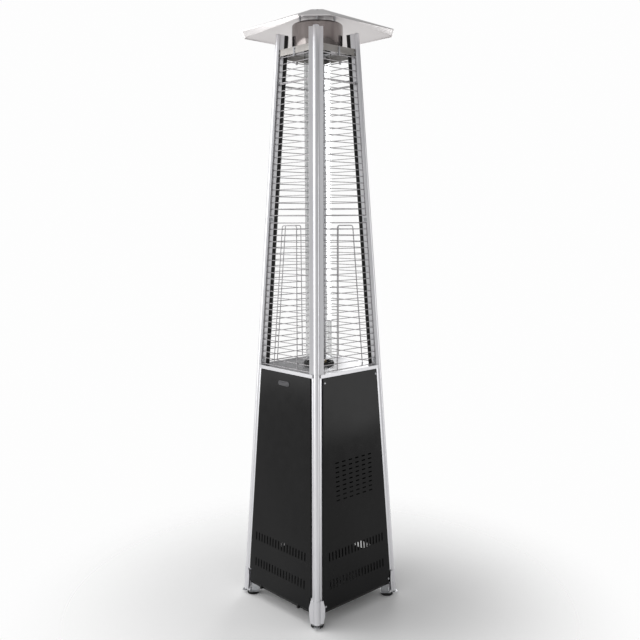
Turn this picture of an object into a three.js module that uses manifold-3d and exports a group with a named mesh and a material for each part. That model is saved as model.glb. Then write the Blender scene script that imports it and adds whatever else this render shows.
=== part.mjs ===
// Pyramid gas patio heater: four leaning corner posts carry a panelled cylinder bay, a burner deck,
// a quartz glass flame tube behind wire guards, a flame screen and a cut-cornered hood.
// Millimetres, +Z up, origin on the floor in the middle of the base, front door facing -Y.
import * as THREE from 'three';
import { mergeGeometries, mergeVertices } from 'three/addons/utils/BufferGeometryUtils.js';
import Module from 'manifold-3d';

const wasm = await Module();
wasm.setup();

// ---- driving dimensions -------------------------------------------------------------------------
const CORNER_RADIUS_AT_FLOOR = 306.4; // outermost line of a post, measured from the vertical axis
const LEAN = 0.0696;                  // how much that radius shrinks for each millimetre of height
const GAP = 0.3;                      // running gap between pieces that touch

const POST_START_Z = 18;
const POST_JOINT_Z = 941;
const POST_TOP_Z = 2180;
const NOSE_RADIUS = 11.5;
const POST_WALL = 2;
const FIN_FACE = -0.8;     // outer face of a lower post's fins, along a face's normal from the corner line
const FIN_END = 34;        // end of a fin, measured along the face from the corner line
const FLANGE_DEPTH = 15;   // from an upper post's nose to its flat flanges, inward along the diagonal
const FLANGE_HALF = 26;    // half width across both flanges
const WEB_END = 34;        // an upper post's two side webs, inward along the diagonal and out sideways
const WEB_HALF = 14;
const CHANNEL_START = 22;  // the black channel that stands between the webs and closes the post's back
const CHANNEL_END = 47;
const CHANNEL_WALL = 1.5;
const CHANNEL_LIFT = 4;      // its foot stands clear of the deck, its head short of the post's
const CHANNEL_SHORTFALL = 2;

const PANEL_FACE = 3.7;
const PANEL_SHEET = 1.2;
const PANEL_BOTTOM_Z = 62;
const PANEL_TOP_Z = 925.5;
const PANEL_EDGE = 28;       // from the corner line to a panel's side edge
const DOOR_NOTCH_EDGE = 36;   // the same on the door below the height where it has to clear the foot covers
const DOOR_NOTCH_Z = 112;

const FOOT_RADIUS = 24;
const FOOT_HEIGHT = 10.7;
const FOOT_CENTRE = 270;
const SHELF_TOP_Z = 68;
const SHEET = 1.5;
const DECK_TOP_Z = 939;

const TUBE_RADIUS = 50;
const TUBE_WALL = 2.5;
const TUBE_BOTTOM_Z = 942;
const TUBE_TOP_Z = 2180;

const BAR_BOTTOM_Z = 2097.5;
const BAR_TOP_Z = 2122;
const BAR_BACK = 0.3;        // clear of the guards, which stand just behind the faces
const SCREEN_RADIUS = 95;
const SCREEN_TOP_Z = 2214;
const SCREEN_BEND = 9;
const STANDOFF_CIRCLE = 64;
const STANDOFF_RADIUS = 4;
const HOOD_HALF_SIDE = 237.6;
const HOOD_CORNER = 280;     // from the axis to a cut corner
const HOOD_RIM_Z = 2180;
const HOOD_LIP = 4;
const HOOD_TOP_Z = 2265;
const HOOD_TOP_CORNER = 24;

const GUARD_WIRE = 3;
const GUARD_PITCH = 24;
const GUARD_BACK = -3;       // the guards lie between here and the faces
const GUARD_EDGE = 25;       // their ends are hidden behind the posts' flanges
const LOWER_GUARD_Z = [944, 1488];
const UPPER_GUARD_Z = [1512, 2094];

const KNOB_X = -38;
const IGNITER_X = 38;
const CONTROLS_Z = 850;
const CONTROL_PLATE_Y = -118;

const SIDES = ['front', 'right', 'back', 'left'];
const CORNERS = ['front_right', 'back_right', 'back_left', 'front_left'];
const FACE_TILT = Math.atan(LEAN / Math.SQRT2);
const POST_TILT = Math.atan(LEAN);

// ---- materials ----------------------------------------------------------------------------------
const finish = (color, roughness, metalness) => () =>
  new THREE.MeshStandardMaterial({ color, roughness, metalness });
const satinAluminium = finish(0xc9cbd0, 0.35, 0.9);
const polishedSteel = finish(0xa9a5a3, 0.15, 1.0);
const brushedSteel = finish(0x9d9a98, 0.35, 1.0);
const guardWire = finish(0x8f8f90, 0.3, 1.0);
const blackPaint = finish(0x18181a, 0.4, 0.3);
const blackSteel = finish(0x101011, 0.5, 0.3);
const blackRubber = finish(0x0d0d0e, 0.9, 0.0);
const blackPlastic = finish(0x151516, 0.55, 0.0);
const castBrass = finish(0xb59a5a, 0.35, 0.9);
const zincSteel = finish(0x8c8e90, 0.45, 0.9);
const quartz = finish(0xe4eaec, 0.05, 0.0);
const redPlastic = finish(0x9c1c18, 0.4, 0.0);

// ---- geometry helpers ---------------------------------------------------------------------------
const radiusAt = (z) => CORNER_RADIUS_AT_FLOOR - LEAN * z;
const cornerAt = (z) => radiusAt(z) / Math.SQRT2;      // half width of the frame at a height
const upFace = (z) => z / Math.cos(FACE_TILT);         // height measured along a leaning face
const halfWidth = (z, inset) => cornerAt(z) - inset;

const group = new THREE.Group();

function addPart(parent, name, geometry, material) {
  const mesh = new THREE.Mesh(geometry, material());
  mesh.name = name;
  parent.add(mesh);
  return mesh;
}

function shapeOf(points) {
  return new THREE.Shape(points.map(([x, y]) => new THREE.Vector2(x, y)));
}

function extrude(shape, depth, start = 0) {
  const geometry = new THREE.ExtrudeGeometry(shape, { depth, bevelEnabled: false, curveSegments: 10 });
  return geometry.translate(0, 0, start);
}

function box(low, high) {
  const size = high.map((value, i) => value - low[i]);
  const middle = high.map((value, i) => (value + low[i]) / 2);
  return new THREE.BoxGeometry(...size).translate(...middle);
}

function turned(profile, segments) {
  const points = profile.map(([r, z]) => new THREE.Vector2(r, z));
  return new THREE.LatheGeometry(points, segments).rotateX(Math.PI / 2);
}

// A rod or disc between two places along an axis through a point.
function rod(radius, from, to, axis, at, segments = 16) {
  const geometry = new THREE.CylinderGeometry(radius, radius, to - from, segments);
  geometry.translate(0, (from + to) / 2, 0);
  if (axis === 'z') geometry.rotateX(Math.PI / 2);
  if (axis === 'x') geometry.rotateZ(-Math.PI / 2);
  return geometry.translate(...at);
}

function toSolid(geometry) {
  const bare = geometry.clone();
  bare.deleteAttribute('normal');
  bare.deleteAttribute('uv');
  const merged = mergeVertices(bare, 1e-4);
  const mesh = new wasm.Mesh({
    numProp: 3,
    vertProperties: new Float32Array(merged.attributes.position.array),
    triVerts: new Uint32Array(merged.index.array),
  });
  return new wasm.Manifold(mesh);
}

function toGeometry(solid) {
  const mesh = solid.getMesh();
  const geometry = new THREE.BufferGeometry();
  geometry.setAttribute('position', new THREE.BufferAttribute(new Float32Array(mesh.vertProperties), 3));
  geometry.setIndex(new THREE.BufferAttribute(new Uint32Array(mesh.triVerts), 1));
  geometry.computeVertexNormals();
  return geometry;
}

function combine({ join = [], cut = [] }) {
  let solid = toSolid(join[0]);
  for (const piece of join.slice(1)) solid = solid.add(toSolid(piece));
  for (const tool of cut) solid = solid.subtract(toSolid(tool));
  return toGeometry(solid);
}

// A closed skin through outlines that all have the same number of points.
function skin(rings) {
  const count = rings[0].length;
  const positions = rings.flat().flat();
  const index = [];
  for (let r = 0; r < rings.length - 1; r++) {
    for (let i = 0; i < count; i++) {
      const j = (i + 1) % count;
      const low = r * count;
      const high = low + count;
      index.push(low + i, low + j, high + j, low + i, high + j, high + i);
    }
  }
  const cap = (ring, offset, flip) => {
    const flat = ring.map(([x, y]) => new THREE.Vector2(x, y));
    for (const [a, b, c] of THREE.ShapeUtils.triangulateShape(flat, [])) {
      index.push(offset + a, offset + (flip ? c : b), offset + (flip ? b : c));
    }
  };
  cap(rings[0], 0, true);
  cap(rings.at(-1), (rings.length - 1) * count, false);
  const geometry = new THREE.BufferGeometry();
  geometry.setAttribute('position', new THREE.Float32BufferAttribute(positions, 3));
  geometry.setIndex(index);
  geometry.computeVertexNormals();
  return geometry;
}

function arc(centre, radius, from, to, steps) {
  const points = [];
  for (let i = 0; i <= steps; i++) {
    const angle = from + ((to - from) * i) / steps;
    points.push([centre + radius * Math.cos(angle), radius * Math.sin(angle)]);
  }
  return points;
}

// ---- frames: one leaning group for each face and for each corner ----------------------------------
// Face frame: x along the face, y up its slope, z out of it; z = 0 holds the corner lines.
function faceFrame(k) {
  const turn = new THREE.Group();
  turn.rotation.z = (k * Math.PI) / 2;
  const lean = new THREE.Group();
  lean.position.set(0, -cornerAt(0), 0);
  lean.rotation.x = Math.PI / 2 - FACE_TILT;
  turn.add(lean);
  group.add(turn);
  turn.updateMatrixWorld(true);
  return lean;
}

// Corner frame: x outward along the diagonal, z up, y sideways; it stands or leans with the post.
function cornerFrame(k, leaning) {
  const turn = new THREE.Group();
  turn.rotation.z = -Math.PI / 4 + (k * Math.PI) / 2;
  const lean = new THREE.Group();
  if (leaning) {
    lean.position.set(CORNER_RADIUS_AT_FLOOR, 0, 0);
    lean.rotation.y = -POST_TILT;
  }
  turn.add(lean);
  group.add(turn);
  return lean;
}

const faces = SIDES.map((side, k) => faceFrame(k));
const leaningCorners = CORNERS.map((corner, k) => cornerFrame(k, true));
const uprightCorners = CORNERS.map((corner, k) => cornerFrame(k, false));
const alongPost = (z) => z / Math.cos(POST_TILT);

// ---- posts, inner channels and feet ---------------------------------------------------------------
// Section point on a line parallel to a face: 'out' along its normal, 'along' from the corner.
function onFace(out, along, side) {
  return [(out - along) / Math.SQRT2, (side * (out + along)) / Math.SQRT2];
}

// Where a circle of the nose's centre meets a line parallel to a face.
function meetingAngle(radius, out) {
  const along = (out * Math.SQRT2 + NOSE_RADIUS) / (radius * Math.SQRT2);
  return Math.PI * 0.75 - Math.asin(along);
}

// A lower post: a round nose with two fins that lie behind the panels' edges.
function lowerPostSection() {
  const inner = NOSE_RADIUS - POST_WALL;
  const outerEnd = meetingAngle(NOSE_RADIUS, FIN_FACE);
  const innerEnd = meetingAngle(inner, FIN_FACE - POST_WALL);
  const outerArc = arc(-NOSE_RADIUS, NOSE_RADIUS, -outerEnd, outerEnd, 10);
  const innerArc = arc(-NOSE_RADIUS, inner, innerEnd, -innerEnd, 8);
  return shapeOf([
    ...outerArc,
    onFace(FIN_FACE, FIN_END, 1),
    onFace(FIN_FACE - POST_WALL, FIN_END, 1),
    ...innerArc,
    onFace(FIN_FACE - POST_WALL, FIN_END, -1),
    onFace(FIN_FACE, FIN_END, -1),
  ]);
}

// An upper post: the same nose on two flat flanges, with two webs that run inward behind them.
function upperPostSection() {
  const inner = NOSE_RADIUS - POST_WALL;
  const flangeBack = FLANGE_DEPTH + POST_WALL;
  const half = [
    [-FLANGE_DEPTH, NOSE_RADIUS],
    [-FLANGE_DEPTH, FLANGE_HALF],
    [-flangeBack, FLANGE_HALF],
    [-flangeBack, WEB_HALF],
    [-WEB_END, WEB_HALF],
    [-WEB_END, WEB_HALF - POST_WALL],
    [-flangeBack, WEB_HALF - POST_WALL],
    [-flangeBack, inner],
  ];
  return shapeOf([
    ...arc(-NOSE_RADIUS, NOSE_RADIUS, -Math.PI / 2, Math.PI / 2, 10),
    ...half,
    ...arc(-NOSE_RADIUS, inner, Math.PI / 2, -Math.PI / 2, 8),
    ...half.map(([x, y]) => [x, -y]).reverse(),
  ]);
}

function channelSection() {
  const outside = WEB_HALF - POST_WALL - GAP;
  const inside = outside - CHANNEL_WALL;
  const half = [
    [CHANNEL_WALL - CHANNEL_END, inside],
    [-CHANNEL_START, inside],
    [-CHANNEL_START, outside],
    [-CHANNEL_END, outside],
  ];
  return shapeOf([...half, ...half.map(([x, y]) => [x, -y]).reverse()]);
}

function addPosts() {
  const length = (from, to) => alongPost(to) - alongPost(from);
  CORNERS.forEach((corner, k) => {
    const frame = leaningCorners[k];
    const lower = extrude(lowerPostSection(), length(POST_START_Z, POST_JOINT_Z - GAP), alongPost(POST_START_Z));
    const upper = extrude(upperPostSection(), length(POST_JOINT_Z, POST_TOP_Z), alongPost(POST_JOINT_Z));
    const channelStart = alongPost(POST_JOINT_Z + CHANNEL_LIFT);
    const channelLength = alongPost(POST_TOP_Z) - CHANNEL_SHORTFALL - channelStart;
    const channel = extrude(channelSection(), channelLength, channelStart);
    addPart(frame, `lower_post_${corner}`, lower, satinAluminium);
    addPart(frame, `upper_post_${corner}`, upper, satinAluminium);
    addPart(frame, `inner_channel_${corner}`, channel, blackSteel);
  });
}

// Foot cover: a flared sheet wrapped round the bottom of a post and over the panels' corners.
// The flanks end at (flankX, flankY) beside the corner line.
const FOOT_COVER_WALL = 1.2;
const FOOT_COVER_SECTIONS = [
  { z: 21, flankY: 25, flankX: -15 },
  { z: 50, flankY: 29.5, flankX: -17 },
  { z: 76, flankY: 30, flankX: -17 },
  { z: 107, flankY: 24, flankX: -14 },
];

function footCoverRing({ z, flankY, flankX }) {
  const inside = NOSE_RADIUS + 0.5;
  const side = (radius, reach, endX) => {
    const half = arc(-NOSE_RADIUS, radius, 0, reach, 5);
    const otherHalf = half.slice(1).reverse().map(([x, y]) => [x, -y]);
    return [[endX, -flankY], ...otherHalf, ...half, [endX, flankY]];
  };
  const outer = side(inside + FOOT_COVER_WALL, Math.PI * 0.45, flankX);
  const inner = side(inside, Math.PI * 0.49, flankX - FOOT_COVER_WALL);
  return [...outer, ...inner.reverse()].map(([x, y]) => [x, y, alongPost(z)]);
}

// Foot bracket: a thin sole with a pierced lug for a ground anchor, and a block that joins the shelf.
const SOLE_HEIGHT = 3;
const LUG_TIP = 313;
const LUG_HALF_WIDTH = 11;
const SOLE_HALF_WIDTH = 20;
const ANCHOR_HOLE = { radius: 3.5, inset: 8 };
const BRACKET_BLOCK = { from: 246, to: 276, halfWidth: 15, top: 48 };

function footBracket() {
  const neck = FOOT_CENTRE + 18;
  const shoulder = FOOT_CENTRE + 14;
  const half = [[LUG_TIP, 8], [LUG_TIP - 6, LUG_HALF_WIDTH], [neck, LUG_HALF_WIDTH],
    [shoulder, SOLE_HALF_WIDTH], [BRACKET_BLOCK.from - 2, SOLE_HALF_WIDTH]];
  const mirroredHalf = half.map(([x, y]) => [x, -y]).reverse();
  const sole = extrude(shapeOf([...half, ...mirroredHalf]), SOLE_HEIGHT, FOOT_HEIGHT + GAP);
  const hole = rod(ANCHOR_HOLE.radius, 0, BRACKET_BLOCK.top, 'z', [LUG_TIP - ANCHOR_HOLE.inset, 0, 0]);
  const block = box([BRACKET_BLOCK.from, -BRACKET_BLOCK.halfWidth, FOOT_HEIGHT + SOLE_HEIGHT - 1],
    [BRACKET_BLOCK.to, BRACKET_BLOCK.halfWidth, BRACKET_BLOCK.top]);
  return combine({ join: [sole, block], cut: [hole] });
}

function addFeet() {
  const bracket = footBracket();
  const cover = skin(FOOT_COVER_SECTIONS.map(footCoverRing));
  CORNERS.forEach((corner, k) => {
    const rubber = rod(FOOT_RADIUS, 0, FOOT_HEIGHT, 'z', [FOOT_CENTRE, 0, 0], 24);
    addPart(leaningCorners[k], `foot_cover_${corner}`, cover.clone(), satinAluminium);
    addPart(uprightCorners[k], `foot_bracket_${corner}`, bracket.clone(), zincSteel);
    addPart(uprightCorners[k], `rubber_foot_${corner}`, rubber, blackRubber);
  });
}

// ---- base shelf and panels ------------------------------------------------------------------------
// The door tilts on two pins that turn in lugs on the shelf.
const HINGE_Z = 64;
const HINGE_OUT = 1.5;
const HINGE_X = 110;
const HINGE_PIN = { radius: 1.6, halfLength: 8 };
const HINGE_LUG = { width: 8, bottom: 50, top: 67.5, back: -7, front: 4.6, bore: 1.75 };
const HINGE_NOTCH = { width: 12, top: HINGE_Z + 5.6 };
const SHELF_INSET = 5.7;
const SHELF_SKIRT = 18;

function hingeLugs() {
  return [-HINGE_X, HINGE_X].map((x) => {
    const low = [x - HINGE_LUG.width / 2, upFace(HINGE_LUG.bottom), HINGE_LUG.back];
    const high = [x + HINGE_LUG.width / 2, upFace(HINGE_LUG.top), HINGE_LUG.front];
    const bore = rod(HINGE_LUG.bore, low[0] - 1, high[0] + 1, 'x', [0, upFace(HINGE_Z), HINGE_OUT]);
    return combine({ join: [box(low, high)], cut: [bore] }).applyMatrix4(faces[0].matrixWorld);
  });
}

function addShelf() {
  const half = halfWidth(SHELF_TOP_Z, SHELF_INSET);
  const inside = half - SHEET;
  const tray = box([-half, -half, SHELF_TOP_Z - SHELF_SKIRT], [half, half, SHELF_TOP_Z]);
  const hollow = box([-inside, -inside, 0], [inside, inside, SHELF_TOP_Z - SHEET]);
  const shelf = combine({ join: [tray], cut: [hollow] });
  addPart(group, 'base_shelf', combine({ join: [shelf, ...hingeLugs()] }), blackSteel);
}

// Outline of a panel, each edge moved in by an inset; the door is narrower below its notch.
function panelOutline(inset, notched) {
  const bottom = PANEL_BOTTOM_Z + inset;
  const top = PANEL_TOP_Z - inset;
  const cornerPoint = (z, edge) => [halfWidth(z, edge + inset), upFace(z)];
  const right = [cornerPoint(top, PANEL_EDGE)];
  if (notched) {
    const step = DOOR_NOTCH_Z + inset;
    right.unshift(cornerPoint(bottom, DOOR_NOTCH_EDGE), cornerPoint(step, DOOR_NOTCH_EDGE));
    right.splice(2, 0, cornerPoint(step, PANEL_EDGE));
  } else {
    right.unshift(cornerPoint(bottom, PANEL_EDGE));
  }
  const left = right.map(([x, y]) => [-x, y]).reverse();
  return [...right, ...left];
}

function slotGrid({ columns, rows, pitchX, pitchZ, width, height, centreZ }) {
  const slots = [];
  for (let row = 0; row < rows; row++) {
    for (let column = 0; column < columns; column++) {
      const x = (column - (columns - 1) / 2) * pitchX;
      const y = upFace(centreZ + (row - (rows - 1) / 2) * pitchZ);
      const low = [x - width / 2, y - height / 2, FIN_FACE];
      slots.push(box(low, [x + width / 2, y + height / 2, PANEL_FACE + 1]));
    }
  }
  return slots;
}

const FLOOR_VENTS = {
  columns: 18, rows: 2, pitchX: 16.8, pitchZ: 105, width: 5.5, height: 34, centreZ: 205,
};
const SIDE_VENTS = {
  columns: 6, rows: 9, pitchX: 34.8, pitchZ: 17.7, width: 19, height: 4.5, centreZ: 530.5,
};

// A pressed sheet with its edges folded back all round.
function panel(vents, notched = false) {
  const sheetBack = PANEL_FACE - PANEL_SHEET;
  const rimBack = FIN_FACE + GAP;
  const outline = shapeOf(panelOutline(0, notched));
  const sheet = extrude(outline, PANEL_SHEET, sheetBack);
  const rim = extrude(outline, sheetBack + 0.2 - rimBack, rimBack);
  const hollow = extrude(shapeOf(panelOutline(PANEL_SHEET, notched)), PANEL_FACE - rimBack, rimBack - 1);
  const rimOnly = combine({ join: [rim], cut: [hollow] });
  return combine({ join: [sheet, rimOnly], cut: [mergeGeometries(vents)] });
}

function door() {
  const notches = [-HINGE_X, HINGE_X].map((x) =>
    box([x - HINGE_NOTCH.width / 2, 0, -20], [x + HINGE_NOTCH.width / 2, upFace(HINGE_NOTCH.top), 20]));
  const { radius, halfLength } = HINGE_PIN;
  const pins = [-HINGE_X, HINGE_X].map((x) =>
    rod(radius, x - halfLength, x + halfLength, 'x', [0, upFace(HINGE_Z), HINGE_OUT]));
  const sheet = combine({ join: [panel(slotGrid(FLOOR_VENTS), true)], cut: notches });
  return combine({ join: [sheet, ...pins] });
}

function addPanels() {
  addPart(faces[0], 'door', door(), blackPaint);
  addPart(faces[1], 'right_panel', panel([...slotGrid(FLOOR_VENTS), ...slotGrid(SIDE_VENTS)]), blackPaint);
  addPart(faces[2], 'back_panel', panel(slotGrid(FLOOR_VENTS)), blackPaint);
  addPart(faces[3], 'left_panel', panel(slotGrid(FLOOR_VENTS)), blackPaint);
}

// ---- burner deck, burner and gas controls ---------------------------------------------------------
const DECK_LIP = 3;          // how far the deck reaches past the corner lines' square
const DECK_CUT = 8;          // corners of the deck are cut back to clear the posts
const DECK_CHAMFER = 34;
const DECK_HOLE = 46.5;

// One quarter of a square plate's edge, with a tongue in the middle and a chamfered corner.
function plateOutline(edge, inside, tongue, chamfer) {
  const quarter = [[-tongue, -edge], [tongue, -edge], [tongue, -inside], [inside - chamfer, -inside],
    [inside, chamfer - inside], [inside, -tongue]];
  return SIDES.flatMap((side, k) => quarter.map(([x, y]) => {
    const angle = (k * Math.PI) / 2;
    return [x * Math.cos(angle) - y * Math.sin(angle), x * Math.sin(angle) + y * Math.cos(angle)];
  }));
}

function addDeck() {
  const bottom = DECK_TOP_Z - SHEET;
  const edge = cornerAt(DECK_TOP_Z);
  const tongue = halfWidth(DECK_TOP_Z, FIN_END + 3);
  const outline = plateOutline(edge + DECK_LIP, edge - DECK_CUT, tongue, DECK_CHAMFER);
  const plate = extrude(shapeOf(outline), SHEET, bottom);
  const reach = halfWidth(DECK_TOP_Z, 17.5);
  const rims = faces.map((face) => {
    const low = [-reach, upFace(PANEL_TOP_Z + GAP), PANEL_FACE - PANEL_SHEET];
    return box(low, [reach, upFace(DECK_TOP_Z), PANEL_FACE]).applyMatrix4(face.matrixWorld);
  });
  const hole = rod(DECK_HOLE, bottom - 5, DECK_TOP_Z + 5, 'z', [0, 0, 0], 32);
  addPart(group, 'burner_deck', combine({ join: [plate, ...rims], cut: [hole] }), polishedSteel);
}

// The burner hangs from the deck as a cup with its head on a stalk in the middle.
const CUP_FLOOR_Z = 904;
const CUP_RADIUS = 44;
const CUP_FLANGE = 60;
const STALK_RADIUS = 14;
const HEAD_RADIUS = 26;
const HEAD_BOTTOM_Z = 934;
const HEAD_TOP_Z = 957;
const RING_TOP_Z = 952;
const RING_INNER = 46;
const PILOT_X = 34.5;

function burner() {
  const flangeTop = DECK_TOP_Z - SHEET - GAP;
  return turned([
    [0, CUP_FLOOR_Z], [CUP_RADIUS, CUP_FLOOR_Z], [CUP_RADIUS, flangeTop - SHEET],
    [CUP_FLANGE, flangeTop - SHEET], [CUP_FLANGE, flangeTop], [CUP_RADIUS - SHEET, flangeTop],
    [CUP_RADIUS - SHEET, CUP_FLOOR_Z + SHEET], [STALK_RADIUS, CUP_FLOOR_Z + SHEET],
    [STALK_RADIUS, HEAD_BOTTOM_Z - 4], [HEAD_RADIUS, HEAD_BOTTOM_Z], [HEAD_RADIUS, HEAD_TOP_Z - 5],
    [HEAD_RADIUS - 5, HEAD_TOP_Z], [0, HEAD_TOP_Z],
  ], 28);
}

// The ring that stands on the deck round the foot of the flame tube, which rests on its inner step.
function tubeRing() {
  const bottom = DECK_TOP_Z + GAP;
  const step = TUBE_BOTTOM_Z - GAP;
  return turned([
    [RING_INNER, bottom], [CUP_FLANGE, bottom], [CUP_FLANGE, step], [CUP_FLANGE - 3, RING_TOP_Z],
    [TUBE_RADIUS + 1, RING_TOP_Z], [TUBE_RADIUS + 1, step], [RING_INNER, step], [RING_INNER, bottom],
  ], 28);
}

function pilot() {
  const floor = CUP_FLOOR_Z + SHEET + GAP;
  const platform = 940;
  const half = 7;
  const stand = box([29, -half, floor], [31, half, platform + 2]);
  const foot = box([29, -half, floor], [40, half, floor + 2]);
  const head = box([30, -half, platform], [39, half, platform + 6]);
  const thermocouple = rod(2.5, platform + 4, platform + 22, 'z', [PILOT_X, 4, 0], 8);
  const jet = rod(3, platform, platform + 13, 'z', [PILOT_X, -3.5, 0], 8);
  return combine({ join: [stand, foot, head, thermocouple, jet] });
}

function addBurner() {
  addPart(group, 'burner', burner(), brushedSteel);
  addPart(group, 'tube_ring', tubeRing(), blackSteel);
  addPart(group, 'pilot_assembly', pilot(), castBrass);
}

// Controls: a plate hung under the deck carries the valve with its knob and the igniter.
const PLATE_HALF_WIDTH = 75;
const PLATE_BOTTOM_Z = 795;
const PLATE_TOP_FLANGE = 30;
const PLATE_FOLD = 14;
const STEM_RADIUS = 3;
const VALVE_LENGTH = 40;
const INLET_Y = 22;          // behind the plate
const OUTLET_Y = 33;
const OUTLET_TOP = 20;       // above the valve's axis
const PIPE_RADIUS = 4;
const AT_KNOB = [KNOB_X, 0, CONTROLS_Z];
const AT_IGNITER = [IGNITER_X, 0, CONTROLS_Z];

function controlPlate() {
  const y = CONTROL_PLATE_Y;
  const top = DECK_TOP_Z - SHEET - GAP;
  const sheet = (low, high) => box([-PLATE_HALF_WIDTH, ...low], [PLATE_HALF_WIDTH, ...high]);
  const wall = sheet([y, PLATE_BOTTOM_Z], [y + SHEET, top]);
  const topFlange = sheet([y, top - SHEET], [y + PLATE_TOP_FLANGE, top]);
  const foldedEdge = sheet([y, PLATE_BOTTOM_Z], [y + PLATE_FOLD, PLATE_BOTTOM_Z + SHEET]);
  const stemHole = rod(STEM_RADIUS + 2, y - 5, y + 5, 'y', AT_KNOB);
  const igniterHole = rod(10, y - 5, y + 5, 'y', AT_IGNITER);
  return combine({ join: [wall, topFlange, foldedEdge], cut: [stemHole, igniterHole] });
}

function gasValve() {
  const front = CONTROL_PLATE_Y + SHEET + GAP;
  const atInlet = [KNOB_X, CONTROL_PLATE_Y + INLET_Y, CONTROLS_Z];
  const atOutlet = [KNOB_X, CONTROL_PLATE_Y + OUTLET_Y, CONTROLS_Z];
  const body = rod(16, front, front + VALVE_LENGTH, 'y', AT_KNOB, 20);
  const inlet = rod(8, -42, 0, 'z', atInlet);
  const inletNut = rod(11, -32, -20, 'z', atInlet, 6);
  const outlet = rod(7, 0, OUTLET_TOP, 'z', atOutlet);
  const stemBore = rod(STEM_RADIUS + 1, front - 1, front + 9, 'y', AT_KNOB);
  const inletBore = rod(4, -43, -24, 'z', atInlet, 12);
  return combine({ join: [body, inlet, inletNut, outlet], cut: [stemBore, inletBore] });
}

// The pipe leaves the valve's outlet upward, bends inward and rises into the cup on the axis.
function gasPipe() {
  const start = CONTROLS_Z + OUTLET_TOP + GAP;
  const outletY = CONTROL_PLATE_Y + OUTLET_Y;
  const path = new THREE.CatmullRomCurve3([
    [KNOB_X, outletY, start], [KNOB_X, outletY, start + 5], [KNOB_X * 0.85, outletY + 12, start + 14],
    [KNOB_X * 0.4, outletY * 0.44, CUP_FLOOR_Z - 15], [-3, -9, CUP_FLOOR_Z - 13], [0, 0, CUP_FLOOR_Z - 7],
    [0, 0, CUP_FLOOR_Z - GAP],
  ].map((point) => new THREE.Vector3(...point)));
  const section = new THREE.Shape().absarc(0, 0, PIPE_RADIUS, 0, Math.PI * 2);
  return new THREE.ExtrudeGeometry(section, {
    steps: 28, curveSegments: 4, bevelEnabled: false, extrudePath: path,
  });
}

function knob() {
  const y = CONTROL_PLATE_Y;
  const dial = rod(17, y - 14, y - 6, 'y', AT_KNOB, 28);
  const grip = box([KNOB_X - 4, y - 27, CONTROLS_Z - 15], [KNOB_X + 4, y - 13, CONTROLS_Z + 15]);
  const socket = rod(STEM_RADIUS + 0.4, y - 16, y - 5, 'y', AT_KNOB, 12);
  return combine({ join: [dial, grip], cut: [socket] });
}

function igniterBody() {
  const y = CONTROL_PLATE_Y;
  const barrel = rod(9, y - 3, y + 36, 'y', AT_IGNITER, 20);
  const flange = rod(12, y - 4, y - GAP, 'y', AT_IGNITER, 20);
  const well = rod(7, y - 5, y + 10, 'y', AT_IGNITER, 20);
  return combine({ join: [barrel, flange], cut: [well] });
}

function addControls() {
  const y = CONTROL_PLATE_Y;
  addPart(group, 'control_plate', controlPlate(), blackSteel);
  addPart(group, 'gas_valve', gasValve(), castBrass);
  addPart(group, 'gas_pipe', gasPipe(), castBrass);
  addPart(group, 'valve_stem', rod(STEM_RADIUS, y - 13, y + 5.5, 'y', AT_KNOB, 12), zincSteel);
  addPart(group, 'control_knob', knob(), blackPlastic);
  addPart(group, 'igniter_body', igniterBody(), blackPlastic);
  addPart(group, 'igniter_button', rod(6.6, y - 11, y + 4, 'y', AT_IGNITER, 20), redPlastic);
}

// ---- flame tube, top frame, flame screen and hood --------------------------------------------------
function addFlameTube() {
  const inner = TUBE_RADIUS - TUBE_WALL;
  const tube = turned([
    [inner, TUBE_BOTTOM_Z], [TUBE_RADIUS, TUBE_BOTTOM_Z], [TUBE_RADIUS, TUBE_TOP_Z], [inner, TUBE_TOP_Z],
    [inner, TUBE_BOTTOM_Z],
  ], 28);
  addPart(group, 'quartz_tube', tube, quartz);
}

const BAR_INSET = 27;         // from the corner line to the end of a top bar
const BAR_TAB = 4;           // half width of the tab that hangs from the middle of a bar
const BAR_TAB_DROP = 9;
const BAR_SHEET = 2;
const TOP_PLATE_Z = BAR_TOP_Z - 4;
const TOP_PLATE_TONGUE = 68;  // from the corner line to the tongues that reach the bars
const TOP_PLATE_CORNER = 110; // from the axis to the plate's cut corners, clear of the channels

function topBar() {
  const end = (z) => [halfWidth(z, BAR_INSET), upFace(z)];
  const right = [[BAR_TAB, upFace(BAR_BOTTOM_Z - BAR_TAB_DROP)], [BAR_TAB, upFace(BAR_BOTTOM_Z)],
    end(BAR_BOTTOM_Z), end(BAR_TOP_Z)];
  const left = right.map(([x, y]) => [-x, y]).reverse();
  return extrude(shapeOf([...right, ...left]), BAR_SHEET, BAR_BACK);
}

function addTopFrame() {
  SIDES.forEach((side, k) => addPart(faces[k], `top_bar_${side}`, topBar(), brushedSteel));

  const plateZ = TOP_PLATE_Z;
  const inside = halfWidth(BAR_TOP_Z, 6);
  const tongue = halfWidth(BAR_TOP_Z, TOP_PLATE_TONGUE);
  const edge = halfWidth(BAR_TOP_Z, 1.2);
  const square = extrude(shapeOf(hoodRing(inside, TOP_PLATE_CORNER, 0)), SHEET, plateZ);
  const across = box([-tongue, -edge, plateZ], [tongue, edge, plateZ + SHEET]);
  const along = box([-edge, -tongue, plateZ], [edge, tongue, plateZ + SHEET]);
  const hole = rod(TUBE_RADIUS + 1.5, plateZ - 5, plateZ + 5, 'z', [0, 0, 0], 28);
  addPart(group, 'tube_top_plate', combine({ join: [square, across, along], cut: [hole] }), polishedSteel);
}

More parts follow.
